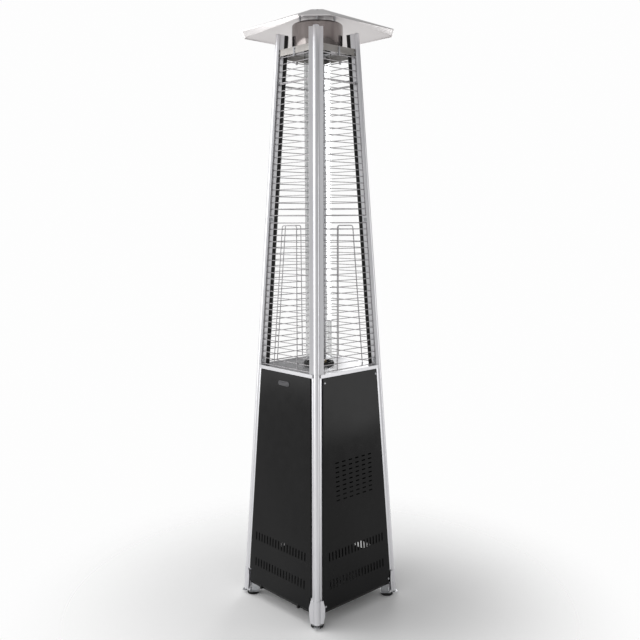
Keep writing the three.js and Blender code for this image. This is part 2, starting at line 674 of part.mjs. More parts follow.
function addFlameScreen() {
  const bottom = TOP_PLATE_Z + SHEET + GAP;
  const bend = SCREEN_BEND;
  const shoulder = (radius, from, to) => arc(SCREEN_RADIUS - bend, radius, from, to, 3)
    .map(([r, up]) => [r, SCREEN_TOP_Z - bend + up]);
  const screen = turned([
    [SCREEN_RADIUS, bottom],
    ...shoulder(bend, 0, Math.PI / 2),
    [TUBE_RADIUS, SCREEN_TOP_Z],
    [TUBE_RADIUS, SCREEN_TOP_Z - SHEET],
    ...shoulder(bend - SHEET, Math.PI / 2, 0),
    [SCREEN_RADIUS - SHEET, bottom],
    [SCREEN_RADIUS, bottom],
  ], 28);
  addPart(group, 'flame_screen', screen, polishedSteel);
}

// One ring of the hood: a square with cut corners, given by its half side and its cut's distance.
function hoodRing(half, corner, z) {
  const shoulder = corner * Math.SQRT2 - half;
  const ring = [];
  for (let k = 0; k < SIDES.length; k++) {
    const angle = (k * Math.PI) / 2;
    for (const x of [-shoulder, shoulder]) {
      ring.push([
        x * Math.cos(angle) + half * Math.sin(angle),
        x * Math.sin(angle) - half * Math.cos(angle),
        z,
      ]);
    }
  }
  return ring;
}

const HOOD_SLOPE = (HOOD_TOP_Z - HOOD_RIM_Z - HOOD_LIP) / (HOOD_CORNER - HOOD_TOP_CORNER);

function addHood() {
  const topHalf = HOOD_TOP_CORNER * Math.SQRT2 - 2;
  const rings = [
    hoodRing(topHalf, HOOD_TOP_CORNER, HOOD_TOP_Z - SHEET),
    hoodRing(HOOD_HALF_SIDE - SHEET, HOOD_CORNER - SHEET, HOOD_RIM_Z + HOOD_LIP - SHEET),
    hoodRing(HOOD_HALF_SIDE - SHEET, HOOD_CORNER - SHEET, HOOD_RIM_Z),
    hoodRing(HOOD_HALF_SIDE, HOOD_CORNER, HOOD_RIM_Z),
    hoodRing(HOOD_HALF_SIDE, HOOD_CORNER, HOOD_RIM_Z + HOOD_LIP),
    hoodRing(topHalf, HOOD_TOP_CORNER, HOOD_TOP_Z),
  ];
  addPart(group, 'hood', skin(rings), polishedSteel);
  const outerEdge = STANDOFF_CIRCLE + STANDOFF_RADIUS;
  const top = HOOD_TOP_Z - SHEET - HOOD_SLOPE * (outerEdge - HOOD_TOP_CORNER) - 2 * GAP;
  const bottom = SCREEN_TOP_Z + GAP;
  CORNERS.forEach((corner, k) => {
    const standoff = rod(STANDOFF_RADIUS, bottom, top, 'z', [STANDOFF_CIRCLE, 0, 0], 12);
    addPart(uprightCorners[k], `hood_standoff_${corner}`, standoff, zincSteel);
  });
}

// ---- wire guards -----------------------------------------------------------------------------------
// A guard is one ladder of wires between two side wires that follow the leaning posts.
function guard([bottom, top]) {
  const wire = GUARD_WIRE;
  const edge = (z, inset) => halfWidth(z, GUARD_EDGE + inset);
  const ladder = (low, high, inset) => shapeOf([
    [-edge(low, inset), upFace(low)], [edge(low, inset), upFace(low)],
    [edge(high, inset), upFace(high)], [-edge(high, inset), upFace(high)],
  ]);
  const rows = Math.round((top - bottom - wire) / GUARD_PITCH);
  const pitch = (top - bottom - wire) / rows;
  const windows = [];
  for (let row = 0; row < rows; row++) {
    const low = bottom + wire + row * pitch;
    windows.push(extrude(ladder(low, low + pitch - wire, wire), -GUARD_BACK + 2, GUARD_BACK - 1));
  }
  return combine({ join: [extrude(ladder(bottom, top, 0), -GUARD_BACK, GUARD_BACK)], cut: [mergeGeometries(windows)] });
}

function addGuards() {
  SIDES.forEach((side, k) => {
    addPart(faces[k], `lower_guard_${side}`, guard(LOWER_GUARD_Z), guardWire);
    addPart(faces[k], `upper_guard_${side}`, guard(UPPER_GUARD_Z), guardWire);
  });
}

addPosts();
addFeet();
addShelf();
addPanels();
addDeck();
addBurner();
addControls();
addFlameTube();
addTopFrame();
addFlameScreen();
addHood();
addGuards();

export default group;
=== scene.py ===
"""Pyramid patio heater: the detailed visual model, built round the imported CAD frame, in metres."""
import math

import bmesh
import bpy
from mathutils import Matrix, Vector


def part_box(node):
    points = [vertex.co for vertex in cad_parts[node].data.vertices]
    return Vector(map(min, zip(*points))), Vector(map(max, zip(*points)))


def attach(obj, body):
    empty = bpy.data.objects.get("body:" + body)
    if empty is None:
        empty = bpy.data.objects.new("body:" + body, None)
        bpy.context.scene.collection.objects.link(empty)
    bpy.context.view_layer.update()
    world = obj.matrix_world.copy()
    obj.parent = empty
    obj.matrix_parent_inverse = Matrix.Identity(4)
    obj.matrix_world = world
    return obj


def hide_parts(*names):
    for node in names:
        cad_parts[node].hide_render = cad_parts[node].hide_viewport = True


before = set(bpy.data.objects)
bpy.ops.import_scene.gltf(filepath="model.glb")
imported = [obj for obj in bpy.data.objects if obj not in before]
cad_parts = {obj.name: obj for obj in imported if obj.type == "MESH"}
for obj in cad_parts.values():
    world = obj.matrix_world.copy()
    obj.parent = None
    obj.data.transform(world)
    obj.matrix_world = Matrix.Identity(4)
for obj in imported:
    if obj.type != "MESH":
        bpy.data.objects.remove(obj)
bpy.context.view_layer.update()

# ---- sizes shared with the CAD, in metres; the first two fix every leaning part
RADIUS_AT_FLOOR = 0.3064      # from the axis to a post's corner line, at the floor
LEAN = 0.0696                 # how much that radius shrinks for each metre of height
FACE_TILT = math.atan(LEAN / math.sqrt(2))
POST_TILT = math.atan(LEAN)
GAP = 0.0003

NOSE = 0.0115                 # radius of a post's rounded nose
POST_WALL = 0.002
FIN_FACE = -0.0008
FIN_END = 0.034
FLANGE_DEPTH = 0.015          # from an upper post's nose to its flat flanges
FLANGE_HALF = 0.026
WEB_END = 0.034
WEB_HALF = 0.014
CHANNEL_START = 0.022
CHANNEL_END = 0.047
CHANNEL_WALL = 0.0015
PANEL_FACE = 0.0037
PANEL_SHEET = 0.0012
PANEL_EDGE = 0.028
DOOR_NOTCH_EDGE = 0.036
DOOR_NOTCH_Z = 0.112
PANEL_FOLD = 0.0024
GUARD_EDGE = 0.027            # from the corner line to the middle of a guard's side rod
GUARD_PITCH = 0.024
GUARD_DEPTH = -0.0016
WIRE = 0.0015                 # radius of a guard's wires, and of its heavier rods
ROD = 0.0019
STAY = 0.0022

SIDES = ("front", "right", "back", "left")
CORNERS = ("front_right", "back_right", "back_left", "front_left")

DECK_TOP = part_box("burner_deck")[1].z
PANEL_BOTTOM, PANEL_TOP = (corner.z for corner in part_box("left_panel"))
POST_BOTTOM = 0.018
POST_JOINT = 0.941
POST_TOP = 2.180
TUBE_BOTTOM, TUBE_TOP = (corner.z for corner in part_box("quartz_tube"))
BAR_BOTTOM, BAR_TOP = 2.0975, 2.122
LOWER_GUARD = (0.944, 1.488)
UPPER_GUARD = (1.512, 2.094)
HOOD_LOW, HOOD_TOP = (corner.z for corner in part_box("hood"))
IDENTITY = Matrix.Identity(4)


def corner_at(z):
    return (RADIUS_AT_FLOOR - LEAN * z) / math.sqrt(2)


def half_width(z, inset):
    return corner_at(z) - inset


def up_face(z):
    return z / math.cos(FACE_TILT)


def along_post(z):
    return z / math.cos(POST_TILT)


def face_matrix(k):
    """Face k's own frame: x along the face, y up its slope, z out of it."""
    turn = Matrix.Rotation(k * math.pi / 2, 4, "Z")
    foot = Matrix.Translation((0, -corner_at(0), 0))
    return turn @ foot @ Matrix.Rotation(math.pi / 2 - FACE_TILT, 4, "X")


def corner_matrix(k, leaning=True):
    """Corner k's own frame: x out along the diagonal, z up; it leans with the post if asked."""
    turn = Matrix.Rotation(-math.pi / 4 + k * math.pi / 2, 4, "Z")
    if not leaning:
        return turn
    return turn @ Matrix.Translation((RADIUS_AT_FLOOR, 0, 0)) @ Matrix.Rotation(-POST_TILT, 4, "Y")


# ---- camera, floor and light
CAMERA_AZIMUTH = math.radians(47.154)
CAMERA_DISTANCE = 3.0852
CAMERA_HEIGHT = 1.4911
CAMERA_DOWN = 0.12228
CAMERA_YAW = 0.00165
CAMERA_ROLL = -0.0043
CAMERA_LENS = 45.09           # in mm, for the sensor's width in mm
CAMERA_SENSOR = 36


def add_camera():
    data = bpy.data.cameras.new("camera")
    data.sensor_width = CAMERA_SENSOR
    data.lens = CAMERA_LENS
    camera = bpy.data.objects.new("camera", data)
    bpy.context.scene.collection.objects.link(camera)
    turn = Matrix.Rotation(CAMERA_AZIMUTH - CAMERA_YAW, 4, "Z")
    tilt = Matrix.Rotation(math.pi / 2 - CAMERA_DOWN, 4, "X")
    roll = Matrix.Rotation(CAMERA_ROLL, 4, "Z")
    place = Matrix.Translation((
        CAMERA_DISTANCE * math.sin(CAMERA_AZIMUTH),
        -CAMERA_DISTANCE * math.cos(CAMERA_AZIMUTH),
        CAMERA_HEIGHT,
    ))
    camera.matrix_world = place @ turn @ tilt @ roll
    bpy.context.scene.camera = camera


def add_node(tree, kind, links=(), **settings):
    """One shader node: settings are its properties, or its input values by socket name."""
    node = tree.nodes.new(kind)
    for key, value in settings.items():
        if hasattr(node, key):
            setattr(node, key, value)
        else:
            node.inputs[key.replace("_", " ")].default_value = value
    for source, target in links:
        tree.links.new(source, node.inputs[target])
    return node


def ramp(tree, source, *stops):
    """A colour ramp from (position, grey or colour) stops."""
    node = tree.nodes.new("ShaderNodeValToRGB")
    elements = node.color_ramp.elements
    for index, (position, value) in enumerate(stops):
        element = elements[index] if index < 2 else elements.new(position)
        element.position = position
        colour = value if isinstance(value, tuple) else (value, value, value)
        element.color = (*colour, 1)
    tree.links.new(source, node.inputs[0])
    return node


BRIGHT_SIDE = (-0.5, -0.866, 0.0)   # direction of the studio's brightest wall
FLOOR_GLOW = (0.78, 0.775, 0.77, 1)
BACKDROP = (0.985, 0.985, 0.985, 1)


def add_world():
    """White to the camera; to the object a studio with a bright wall, a dim wall and a white floor."""
    world = bpy.data.worlds.new("studio")
    bpy.context.scene.world = world
    world.use_nodes = True
    tree = world.node_tree
    tree.nodes.clear()
    direction = add_node(tree, "ShaderNodeTexCoord")
    split = add_node(tree, "ShaderNodeSeparateXYZ", [(direction.outputs["Generated"], 0)])
    towards = add_node(tree, "ShaderNodeVectorMath", [(direction.outputs["Generated"], 0)],
                       operation="DOT_PRODUCT")
    towards.inputs[1].default_value = BRIGHT_SIDE
    around = add_node(tree, "ShaderNodeMapRange", [(towards.outputs["Value"], 0)], From_Min=-1.0)
    height = add_node(tree, "ShaderNodeMapRange", [(split.outputs["Z"], 0)], From_Min=-1.0)
    walls = ramp(tree, around.outputs[0], (0.0, 0.30), (0.40, 0.38), (0.62, 0.55), (0.80, 0.80), (1.0, 0.92))
    floor_share = ramp(tree, height.outputs[0], (0.40, 1.0), (0.485, 0.0))
    mixed = add_node(tree, "ShaderNodeMix", data_type="RGBA")
    tree.links.new(floor_share.outputs[0], mixed.inputs["Factor"])
    tree.links.new(walls.outputs[0], mixed.inputs[6])
    mixed.inputs[7].default_value = FLOOR_GLOW
    studio = add_node(tree, "ShaderNodeBackground", [(mixed.outputs[2], "Color")], Strength=1.0)
    backdrop = add_node(tree, "ShaderNodeBackground", Color=BACKDROP, Strength=1.0)
    path = add_node(tree, "ShaderNodeLightPath")
    mix = add_node(tree, "ShaderNodeMixShader", [
        (path.outputs["Is Camera Ray"], 0), (studio.outputs[0], 1), (backdrop.outputs[0], 2)])
    out = add_node(tree, "ShaderNodeOutputWorld")
    tree.links.new(mix.outputs[0], out.inputs[0])


LIGHT_TARGET = Vector((0, 0, 1.1))   # every softbox is aimed at the object's middle


def add_softbox(name, azimuth, height, distance, size, power):
    """A rectangular light at an azimuth round the object, aimed at its middle."""
    data = bpy.data.lights.new(name, "AREA")
    data.shape = "RECTANGLE"
    data.size, data.size_y = size
    data.energy = power
    light = bpy.data.objects.new(name, data)
    bpy.context.scene.collection.objects.link(light)
    angle = math.radians(azimuth)
    place = Vector((distance * math.sin(angle), -distance * math.cos(angle), height))
    light.location = place
    light.rotation_mode = "QUATERNION"
    light.rotation_quaternion = (LIGHT_TARGET - place).to_track_quat("-Z", "Y")


FLOOR_RADIUS = 2.0
FLOOR_FADE = (0.40, 1.30)     # distances from the middle between which the floor fades out
FLOOR_WHITE = (0.94, 0.94, 0.94, 1)


def add_floor():
    """A pale round floor that fades into the backdrop."""
    material = bpy.data.materials.new("floor_white")
    material.use_nodes = True
    tree = material.node_tree
    tree.nodes.clear()
    place = add_node(tree, "ShaderNodeTexCoord")
    length = add_node(tree, "ShaderNodeVectorMath", [(place.outputs["Object"], 0)], operation="LENGTH")
    fade = add_node(tree, "ShaderNodeMapRange", [(length.outputs["Value"], 0)],
                    interpolation_type="SMOOTHSTEP", From_Min=FLOOR_FADE[0], From_Max=FLOOR_FADE[1])
    paper = add_node(tree, "ShaderNodeBsdfDiffuse", Color=FLOOR_WHITE)
    clear = add_node(tree, "ShaderNodeBsdfTransparent")
    mix = add_node(tree, "ShaderNodeMixShader", [
        (fade.outputs[0], 0), (paper.outputs[0], 1), (clear.outputs[0], 2)])
    out = add_node(tree, "ShaderNodeOutputMaterial")
    tree.links.new(mix.outputs[0], out.inputs[0])
    bpy.ops.mesh.primitive_circle_add(vertices=96, radius=FLOOR_RADIUS, fill_type="NGON")
    floor = bpy.context.object
    floor.name = "floor"
    floor.data.materials.append(material)


def add_studio():
    """Camera, world and floor, with softboxes given by azimuth, height, distance, size and power."""
    add_camera()
    add_world()
    add_floor()
    add_softbox("key_softbox", -30, 1.7, 3.4, (2.6, 2.8), 34)
    add_softbox("fill_softbox", 128, 1.2, 4.0, (1.6, 2.4), 20)
    add_softbox("rim_softbox", 215, 1.9, 3.6, (1.2, 2.6), 25)
    add_softbox("top_softbox", 300, 3.6, 2.0, (1.8, 1.8), 26)
    bpy.context.scene.view_settings.view_transform = "Standard"


# ---- materials
def shader(name, **sockets):
    """A principled material with its uniform values set on its own sockets."""
    material = bpy.data.materials.new(name)
    material.use_nodes = True
    tree = material.node_tree
    bsdf = tree.nodes["Principled BSDF"]
    for key, value in sockets.items():
        bsdf.inputs[key.replace("_", " ")].default_value = value
    return material, tree, bsdf


def grain(tree, scale, stretch=(1, 1, 1), detail=4, roughness=0.55):
    """Noise in the object's own space, stretched along an axis."""
    place = add_node(tree, "ShaderNodeTexCoord")
    mapping = add_node(tree, "ShaderNodeMapping", [(place.outputs["Object"], "Vector")])
    mapping.inputs["Scale"].default_value = stretch
    return add_node(tree, "ShaderNodeTexNoise", [(mapping.outputs[0], "Vector")],
                    Scale=scale, Detail=detail, Roughness=roughness)


def vary_colour(tree, bsdf, noise, dark, light, low=0.35, high=0.65):
    colours = ramp(tree, noise.outputs[0], (low, dark), (high, light))
    tree.links.new(colours.outputs[0], bsdf.inputs["Base Color"])


def vary_roughness(tree, bsdf, noise, smooth, rough, low=0.3, high=0.7):
    values = ramp(tree, noise.outputs[0], (low, smooth), (high, rough))
    tree.links.new(values.outputs[0], bsdf.inputs["Roughness"])


def add_bump(tree, bsdf, *layers):
    """Bump layers, each (noise, height in metres), stacked on one another."""
    last = None
    for noise, distance in layers:
        bump = add_node(tree, "ShaderNodeBump", [(noise.outputs[0], "Height")],
                        Strength=1.0, Distance=distance)
        if last:
            tree.links.new(last.outputs[0], bump.inputs["Normal"])
        last = bump
    tree.links.new(last.outputs[0], bsdf.inputs["Normal"])


def satin_aluminium():
    material, tree, bsdf = shader("satin_aluminium", Metallic=1.0)
    lines = grain(tree, 1.0, (1400, 1400, 9), 3)
    smudges = grain(tree, 9.0, (1, 1, 0.35), 3)
    vary_colour(tree, bsdf, smudges, (0.72, 0.72, 0.745), (0.79, 0.79, 0.81))
    vary_roughness(tree, bsdf, lines, 0.30, 0.42)
    add_bump(tree, bsdf, (lines, 0.000012))
    return material


def polished_steel():
    material, tree, bsdf = shader("polished_steel", Metallic=1.0)
    tint = grain(tree, 14.0, (1, 1, 0.25), 3)
    waves = grain(tree, 16.0, (1, 1, 0.22), 2)
    scratches = grain(tree, 1.0, (900, 900, 60), 3)
    vary_colour(tree, bsdf, tint, (0.20, 0.175, 0.17), (0.36, 0.33, 0.32))
    vary_roughness(tree, bsdf, scratches, 0.08, 0.17)
    add_bump(tree, bsdf, (waves, 0.0022), (scratches, 0.000006))
    return material


def hood_steel():
    material, tree, bsdf = shader("hood_steel", Metallic=1.0)
    tint = grain(tree, 5.0, detail=3)
    brushed = grain(tree, 1.0, (700, 60, 700), 3)
    vary_colour(tree, bsdf, tint, (0.76, 0.735, 0.735), (0.83, 0.81, 0.81))
    vary_roughness(tree, bsdf, brushed, 0.30, 0.42)
    add_bump(tree, bsdf, (grain(tree, 5.0, detail=1), 0.0012), (brushed, 0.000006))
    return material


def brushed_steel():
    material, tree, bsdf = shader("brushed_steel", Metallic=1.0)
    brushed = grain(tree, 1.0, (60, 60, 1500), 4)
    patches = grain(tree, 22.0, detail=3)
    vary_colour(tree, bsdf, patches, (0.33, 0.315, 0.30), (0.41, 0.395, 0.38))
    vary_roughness(tree, bsdf, brushed, 0.34, 0.48)
    add_bump(tree, bsdf, (brushed, 0.00001))
    return material


def deck_steel():
    material, tree, bsdf = shader("deck_steel", Metallic=1.0)
    haze = grain(tree, 12.0, detail=4)
    brushed = grain(tree, 1.0, (900, 900, 120), 3)
    vary_colour(tree, bsdf, haze, (0.44, 0.44, 0.455), (0.54, 0.54, 0.555))
    vary_roughness(tree, bsdf, haze, 0.24, 0.38)
    add_bump(tree, bsdf, (brushed, 0.00001))
    return material


def one_grain(name, scale, detail, dark, light, smooth, rough, height, **sockets):
    """A material whose colour, roughness and relief all follow one even noise."""
    material, tree, bsdf = shader(name, **sockets)
    noise = grain(tree, scale, detail=detail)
    vary_colour(tree, bsdf, noise, dark, light)
    vary_roughness(tree, bsdf, noise, smooth, rough)
    add_bump(tree, bsdf, (noise, height))
    return material


def guard_wire():
    return one_grain("guard_wire", 260.0, 3, (0.30, 0.29, 0.30), (0.42, 0.41, 0.42), 0.22, 0.36, 0.00002,
                     Metallic=1.0)


def powder_coat():
    """Semi-gloss black powder coat: orange peel over sheet that isn't perfectly flat."""
    material, tree, bsdf = shader("powder_coat", Metallic=0.0, Specular_IOR_Level=0.17)
    peel = grain(tree, 620.0, detail=2)
    sheet = grain(tree, 2.6, (1, 1, 0.7), 1)
    dust = grain(tree, 30.0, detail=5, roughness=0.7)
    vary_colour(tree, bsdf, dust, (0.0030, 0.0030, 0.0032), (0.0055, 0.0055, 0.0058), 0.3, 0.75)
    vary_roughness(tree, bsdf, dust, 0.13, 0.20)
    add_bump(tree, bsdf, (sheet, 0.009), (peel, 0.000018))
    return material


def black_steel():
    material, tree, bsdf = shader("black_steel", Metallic=0.0, Specular_IOR_Level=0.3)
    peel = grain(tree, 500.0, detail=3)
    wear = grain(tree, 18.0, detail=4)
    vary_colour(tree, bsdf, wear, (0.006, 0.006, 0.006), (0.013, 0.013, 0.0135))
    vary_roughness(tree, bsdf, wear, 0.38, 0.55)
    add_bump(tree, bsdf, (peel, 0.00003))
    return material


def black_rubber():
    return one_grain("black_rubber", 420.0, 3, (0.009, 0.009, 0.0095), (0.022, 0.022, 0.022), 0.6, 0.85,
                     0.0001, Specular_IOR_Level=0.3)


def black_plastic():
    return one_grain("black_plastic", 900.0, 2, (0.012, 0.012, 0.013), (0.022, 0.022, 0.024), 0.38, 0.52,
                     0.00003, Specular_IOR_Level=0.45)


def red_plastic():
    return one_grain("red_plastic", 160.0, 3, (0.42, 0.012, 0.010), (0.55, 0.02, 0.016), 0.25, 0.36,
                     0.00002, Coat_Weight=0.4, Coat_Roughness=0.08)


def brass():
    material, tree, bsdf = shader("machined_brass", Metallic=1.0)
    marks = grain(tree, 1.0, (900, 500, 900), 3)
    tarnish = grain(tree, 35.0, detail=4)
    vary_colour(tree, bsdf, tarnish, (0.50, 0.36, 0.16), (0.72, 0.57, 0.30))
    vary_roughness(tree, bsdf, tarnish, 0.22, 0.42)
    add_bump(tree, bsdf, (marks, 0.00001))
    return material


def zinc_plate():
    material, tree, bsdf = shader("zinc_plate", Metallic=1.0)
    spangle = add_node(tree, "ShaderNodeTexVoronoi", Scale=240.0)
    place = add_node(tree, "ShaderNodeTexCoord")
    tree.links.new(place.outputs["Object"], spangle.inputs["Vector"])
    colours = ramp(tree, spangle.outputs["Distance"], (0.1, (0.58, 0.59, 0.60)), (0.9, (0.42, 0.43, 0.45)))
    tree.links.new(colours.outputs[0], bsdf.inputs["Base Color"])
    cloud = grain(tree, 60.0, detail=3)
    vary_roughness(tree, bsdf, cloud, 0.28, 0.48)
    add_bump(tree, bsdf, (cloud, 0.00005))
    return material


def quartz_glass():
    """Clear fused quartz with faint drawing lines along the tube."""
    material, tree, bsdf = shader(
        "quartz_glass", Transmission_Weight=1.0, IOR=1.32, Roughness=0.0, Specular_IOR_Level=0.42)
    lines = grain(tree, 1.0, (70, 70, 0.6), 2)
    vary_colour(tree, bsdf, lines, (0.965, 0.975, 0.98), (0.995, 0.998, 1.0))
    add_bump(tree, bsdf, (lines, 0.00012))
    return material


def badge_silver():
    """The blank badge's dark satin metal."""
    material, tree, bsdf = shader("badge_silver", Metallic=1.0)
    brushed = grain(tree, 1.0, (40, 1200, 1200), 3)
    vary_colour(tree, bsdf, brushed, (0.05, 0.05, 0.053), (0.11, 0.11, 0.115))
    vary_roughness(tree, bsdf, brushed, 0.25, 0.4)
    add_bump(tree, bsdf, (brushed, 0.00001))
    return material


# ---- mesh helpers
# A shape is (points, faces). Shapes are joined, then placed by one matrix and turned into a piece.
def joined(*shapes):
    points, faces = [], []
    for shape_points, shape_faces in shapes:
        start = len(points)
        points.extend(shape_points)
        faces.extend([index + start for index in face] for face in shape_faces)
    return points, faces


def placed(shape, matrix):
    return [matrix @ Vector(point) for point in shape[0]], shape[1]


def moved(shape, x, y, z):
    return placed(shape, Matrix.Translation((x, y, z)))


def circle(radius, steps):
    """Points of a full circle."""
    angles = [2 * math.pi * i / steps for i in range(steps)]
    return [(radius * math.cos(angle), radius * math.sin(angle)) for angle in angles]


def ring_at(outline, z):
    """A flat outline's points at a height."""
    return [Vector((x, y, z)) for x, y in outline]


def rings_to_shape(rings, closed_ends=True, loop=False):
    """Quads between rings that all have the same number of points."""
    count = len(rings[0])
    points = [point for ring in rings for point in ring]
    faces = []
    last = len(rings) if loop else len(rings) - 1
    for r in range(last):
        low, high = r * count, ((r + 1) % len(rings)) * count
        for i in range(count):
            j = (i + 1) % count
            faces.append([low + i, low + j, high + j, high + i])
    if closed_ends and not loop:
        faces.append(list(range(count))[::-1])
        faces.append([(len(rings) - 1) * count + i for i in range(count)])
    return points, faces


def turned(profile, segments=48):
    """A profile of (radius, height) turned round the z axis; one that returns to its start is a ring."""
    rings = [ring_at(circle(radius, segments), height) for radius, height in profile]
    loop = (Vector(profile[0]) - Vector(profile[-1])).length < 1e-7
    return rings_to_shape(rings[:-1] if loop else rings, closed_ends=not loop, loop=loop)


def arc(centre, radius, start, end, steps):
    """Points of an arc; angles in degrees."""
    points = []
    for i in range(steps + 1):
        angle = math.radians(start + (end - start) * i / steps)
        points.append((centre[0] + radius * math.cos(angle), centre[1] + radius * math.sin(angle)))
    return points


def block(low, high):
    x0, y0, z0 = low
    x1, y1, z1 = high
    bottom = [Vector((x0, y0, z0)), Vector((x1, y0, z0)), Vector((x1, y1, z0)), Vector((x0, y1, z0))]
    top = [point + Vector((0, 0, z1 - z0)) for point in bottom]
    return rings_to_shape([bottom, top])


def prism(outline, low, high):
    """A flat outline raised between two heights."""
    return rings_to_shape([ring_at(outline, low), ring_at(outline, high)])


def wire(path, radius, sides=10):
    """A round wire along a path, its ends rounded over."""
    path = [Vector(point) for point in path]
    tangents = []
    for i in range(len(path)):
        ahead = path[min(i + 1, len(path) - 1)]
        behind = path[max(i - 1, 0)]
        tangents.append((ahead - behind).normalized())
    side = tangents[0].orthogonal().normalized()
    tip_share, tip_reach = 0.55, radius * 0.5
    stations = [(path[0] - tangents[0] * tip_reach, tangents[0], tip_share)]
    stations += [(point, tangent, 1.0) for point, tangent in zip(path, tangents)]
    stations.append((path[-1] + tangents[-1] * tip_reach, tangents[-1], tip_share))
    rings = []
    for point, tangent, share in stations:
        side = (side - tangent * side.dot(tangent)).normalized()
        other = tangent.cross(side)
        rings.append([point + (side * x + other * y) * radius * share for x, y in circle(1, sides)])
    return rings_to_shape(rings)


def rounded_corner(before, corner, after, radius, steps):
    """A curve that cuts off the corner between two neighbours."""
    start = corner + (before - corner).normalized() * radius
    end = corner + (after - corner).normalized() * radius
    shares = [i / steps for i in range(steps + 1)]
    return [start * (1 - t) ** 2 + corner * 2 * t * (1 - t) + end * t ** 2 for t in shares]


def rounded_path(points, radius, steps):
    """A path with its inner corners rounded off."""
    points = [Vector(point) for point in points]
    path = [points[0]]
    for before, corner, after in zip(points, points[1:], points[2:]):
        path += rounded_corner(before, corner, after, radius, steps)
    return [*path, points[-1]]


def inset(outline, distance):
    """A counter-clockwise outline with each of its edges moved in."""
    result = []
    count = len(outline)
    for i, point in enumerate(outline):
        here = Vector(point)
        before = (here - Vector(outline[i - 1])).normalized()
        after = (Vector(outline[(i + 1) % count]) - here).normalized()
        first = Vector((-before.y, before.x))
        second = Vector((-after.y, after.x))
        result.append(here + (first + second) * distance / (1 + first.dot(second)))
    return result


def rounded_outline(outline, radius, steps=4):
    """A closed outline with every corner rounded off."""
    points = [Vector(point) for point in outline]
    result = []
    for i, corner in enumerate(points):
        result += rounded_corner(points[i - 1], corner, points[(i + 1) % len(points)], radius, steps)
    return result


def pierced_plane(outline, holes, height, facing_up):
    """A flat sheet at a height inside an outline, with holes."""
    bm = bmesh.new()
    edges = []
    for loop in [outline, *holes]:
        points = [bm.verts.new((x, y, height)) for x, y in loop]
        edges += [bm.edges.new((points[i - 1], points[i])) for i in range(len(points))]
    bmesh.ops.triangle_fill(bm, use_beauty=True, use_dissolve=False, edges=edges, normal=(0, 0, 1))
    bm.verts.index_update()
    points = [vert.co.copy() for vert in bm.verts]
    faces = []
    for face in bm.faces:
        face.normal_update()
        order = [vert.index for vert in face.verts]
        faces.append(order if (face.normal.z > 0) == facing_up else order[::-1])
    bm.free()
    return points, faces


def piece(name, shape, finish, body="root", stands_for=(), matrix=IDENTITY, bevel=0.0, sharp=35):
    """Makes one piece: welds and orients its mesh, rounds its sharp edges and puts it on its body."""
    material, slot = finish
    points, faces = placed(shape, matrix)
    mesh = bpy.data.meshes.new(name)
    mesh.from_pydata(points, [], faces)
    bm = bmesh.new()
    bm.from_mesh(mesh)
    bmesh.ops.remove_doubles(bm, verts=bm.verts, dist=1e-6)
    bmesh.ops.dissolve_degenerate(bm, dist=1e-7, edges=bm.edges)
    bmesh.ops.recalc_face_normals(bm, faces=bm.faces)
    bm.to_mesh(mesh)
    bm.free()
    mesh.materials.append(material)
    mesh.shade_smooth()
    mesh.set_sharp_from_angle(angle=math.radians(sharp))
    obj = bpy.data.objects.new(name, mesh)
    bpy.context.scene.collection.objects.link(obj)
    if bevel:
        rounding = obj.modifiers.new("rounding", "BEVEL")
        rounding.width = bevel
        rounding.segments = 3
        rounding.limit_method = "ANGLE"
        rounding.angle_limit = math.radians(sharp)
        rounding.harden_normals = True
    else:
        normals = obj.modifiers.new("normals", "WEIGHTED_NORMAL")
        normals.keep_sharp = True
        normals.weight = 100
    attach(obj, body)
    if stands_for:
        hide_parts(*stands_for)
    return obj


def cad_shape(node):
    """A CAD node's own mesh as a shape, its flat faces joined again."""
    bm = bmesh.new()
    bm.from_mesh(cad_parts[node].data)
    bmesh.ops.remove_doubles(bm, verts=bm.verts, dist=2e-6)
    bmesh.ops.dissolve_limit(bm, angle_limit=math.radians(1), verts=bm.verts, edges=bm.edges)
    bm.verts.index_update()
    points = [vert.co.copy() for vert in bm.verts]
    faces = [[vert.index for vert in face.verts] for face in bm.faces]
    bm.free()
    return points, faces


# ---- posts, caps and channels
def on_face(out, along, side):
    """Section point of a corner: 'out' along a face's normal, 'along' the face from the corner line."""
    return ((out - along) / math.sqrt(2), side * (out + along) / math.sqrt(2))


def meeting_angle(radius, out):
    """Where a circle round the nose's centre meets a fin's plane, in degrees."""
    along = (out * math.sqrt(2) + NOSE) / (radius * math.sqrt(2))
    return 135 - math.degrees(math.asin(along))


def lower_post_section():
    """Round nose with two fins that lie behind the panels' edges."""
    outer_end = meeting_angle(NOSE, FIN_FACE)
    inner_radius = NOSE - POST_WALL
    inner_end = meeting_angle(inner_radius, FIN_FACE - POST_WALL)
    centre = (-NOSE, 0)
    return [
        *arc(centre, NOSE, -outer_end, outer_end, 28),
        on_face(FIN_FACE, FIN_END, 1),
        on_face(FIN_FACE - POST_WALL, FIN_END, 1),
        *arc(centre, inner_radius, inner_end, -inner_end, 16),
        on_face(FIN_FACE - POST_WALL, FIN_END, -1),
        on_face(FIN_FACE, FIN_END, -1),
    ]


def mirror(half):
    """A half outline's mirror image across the corner's diagonal, in reverse order."""
    return [(x, -y) for x, y in reversed(half)]


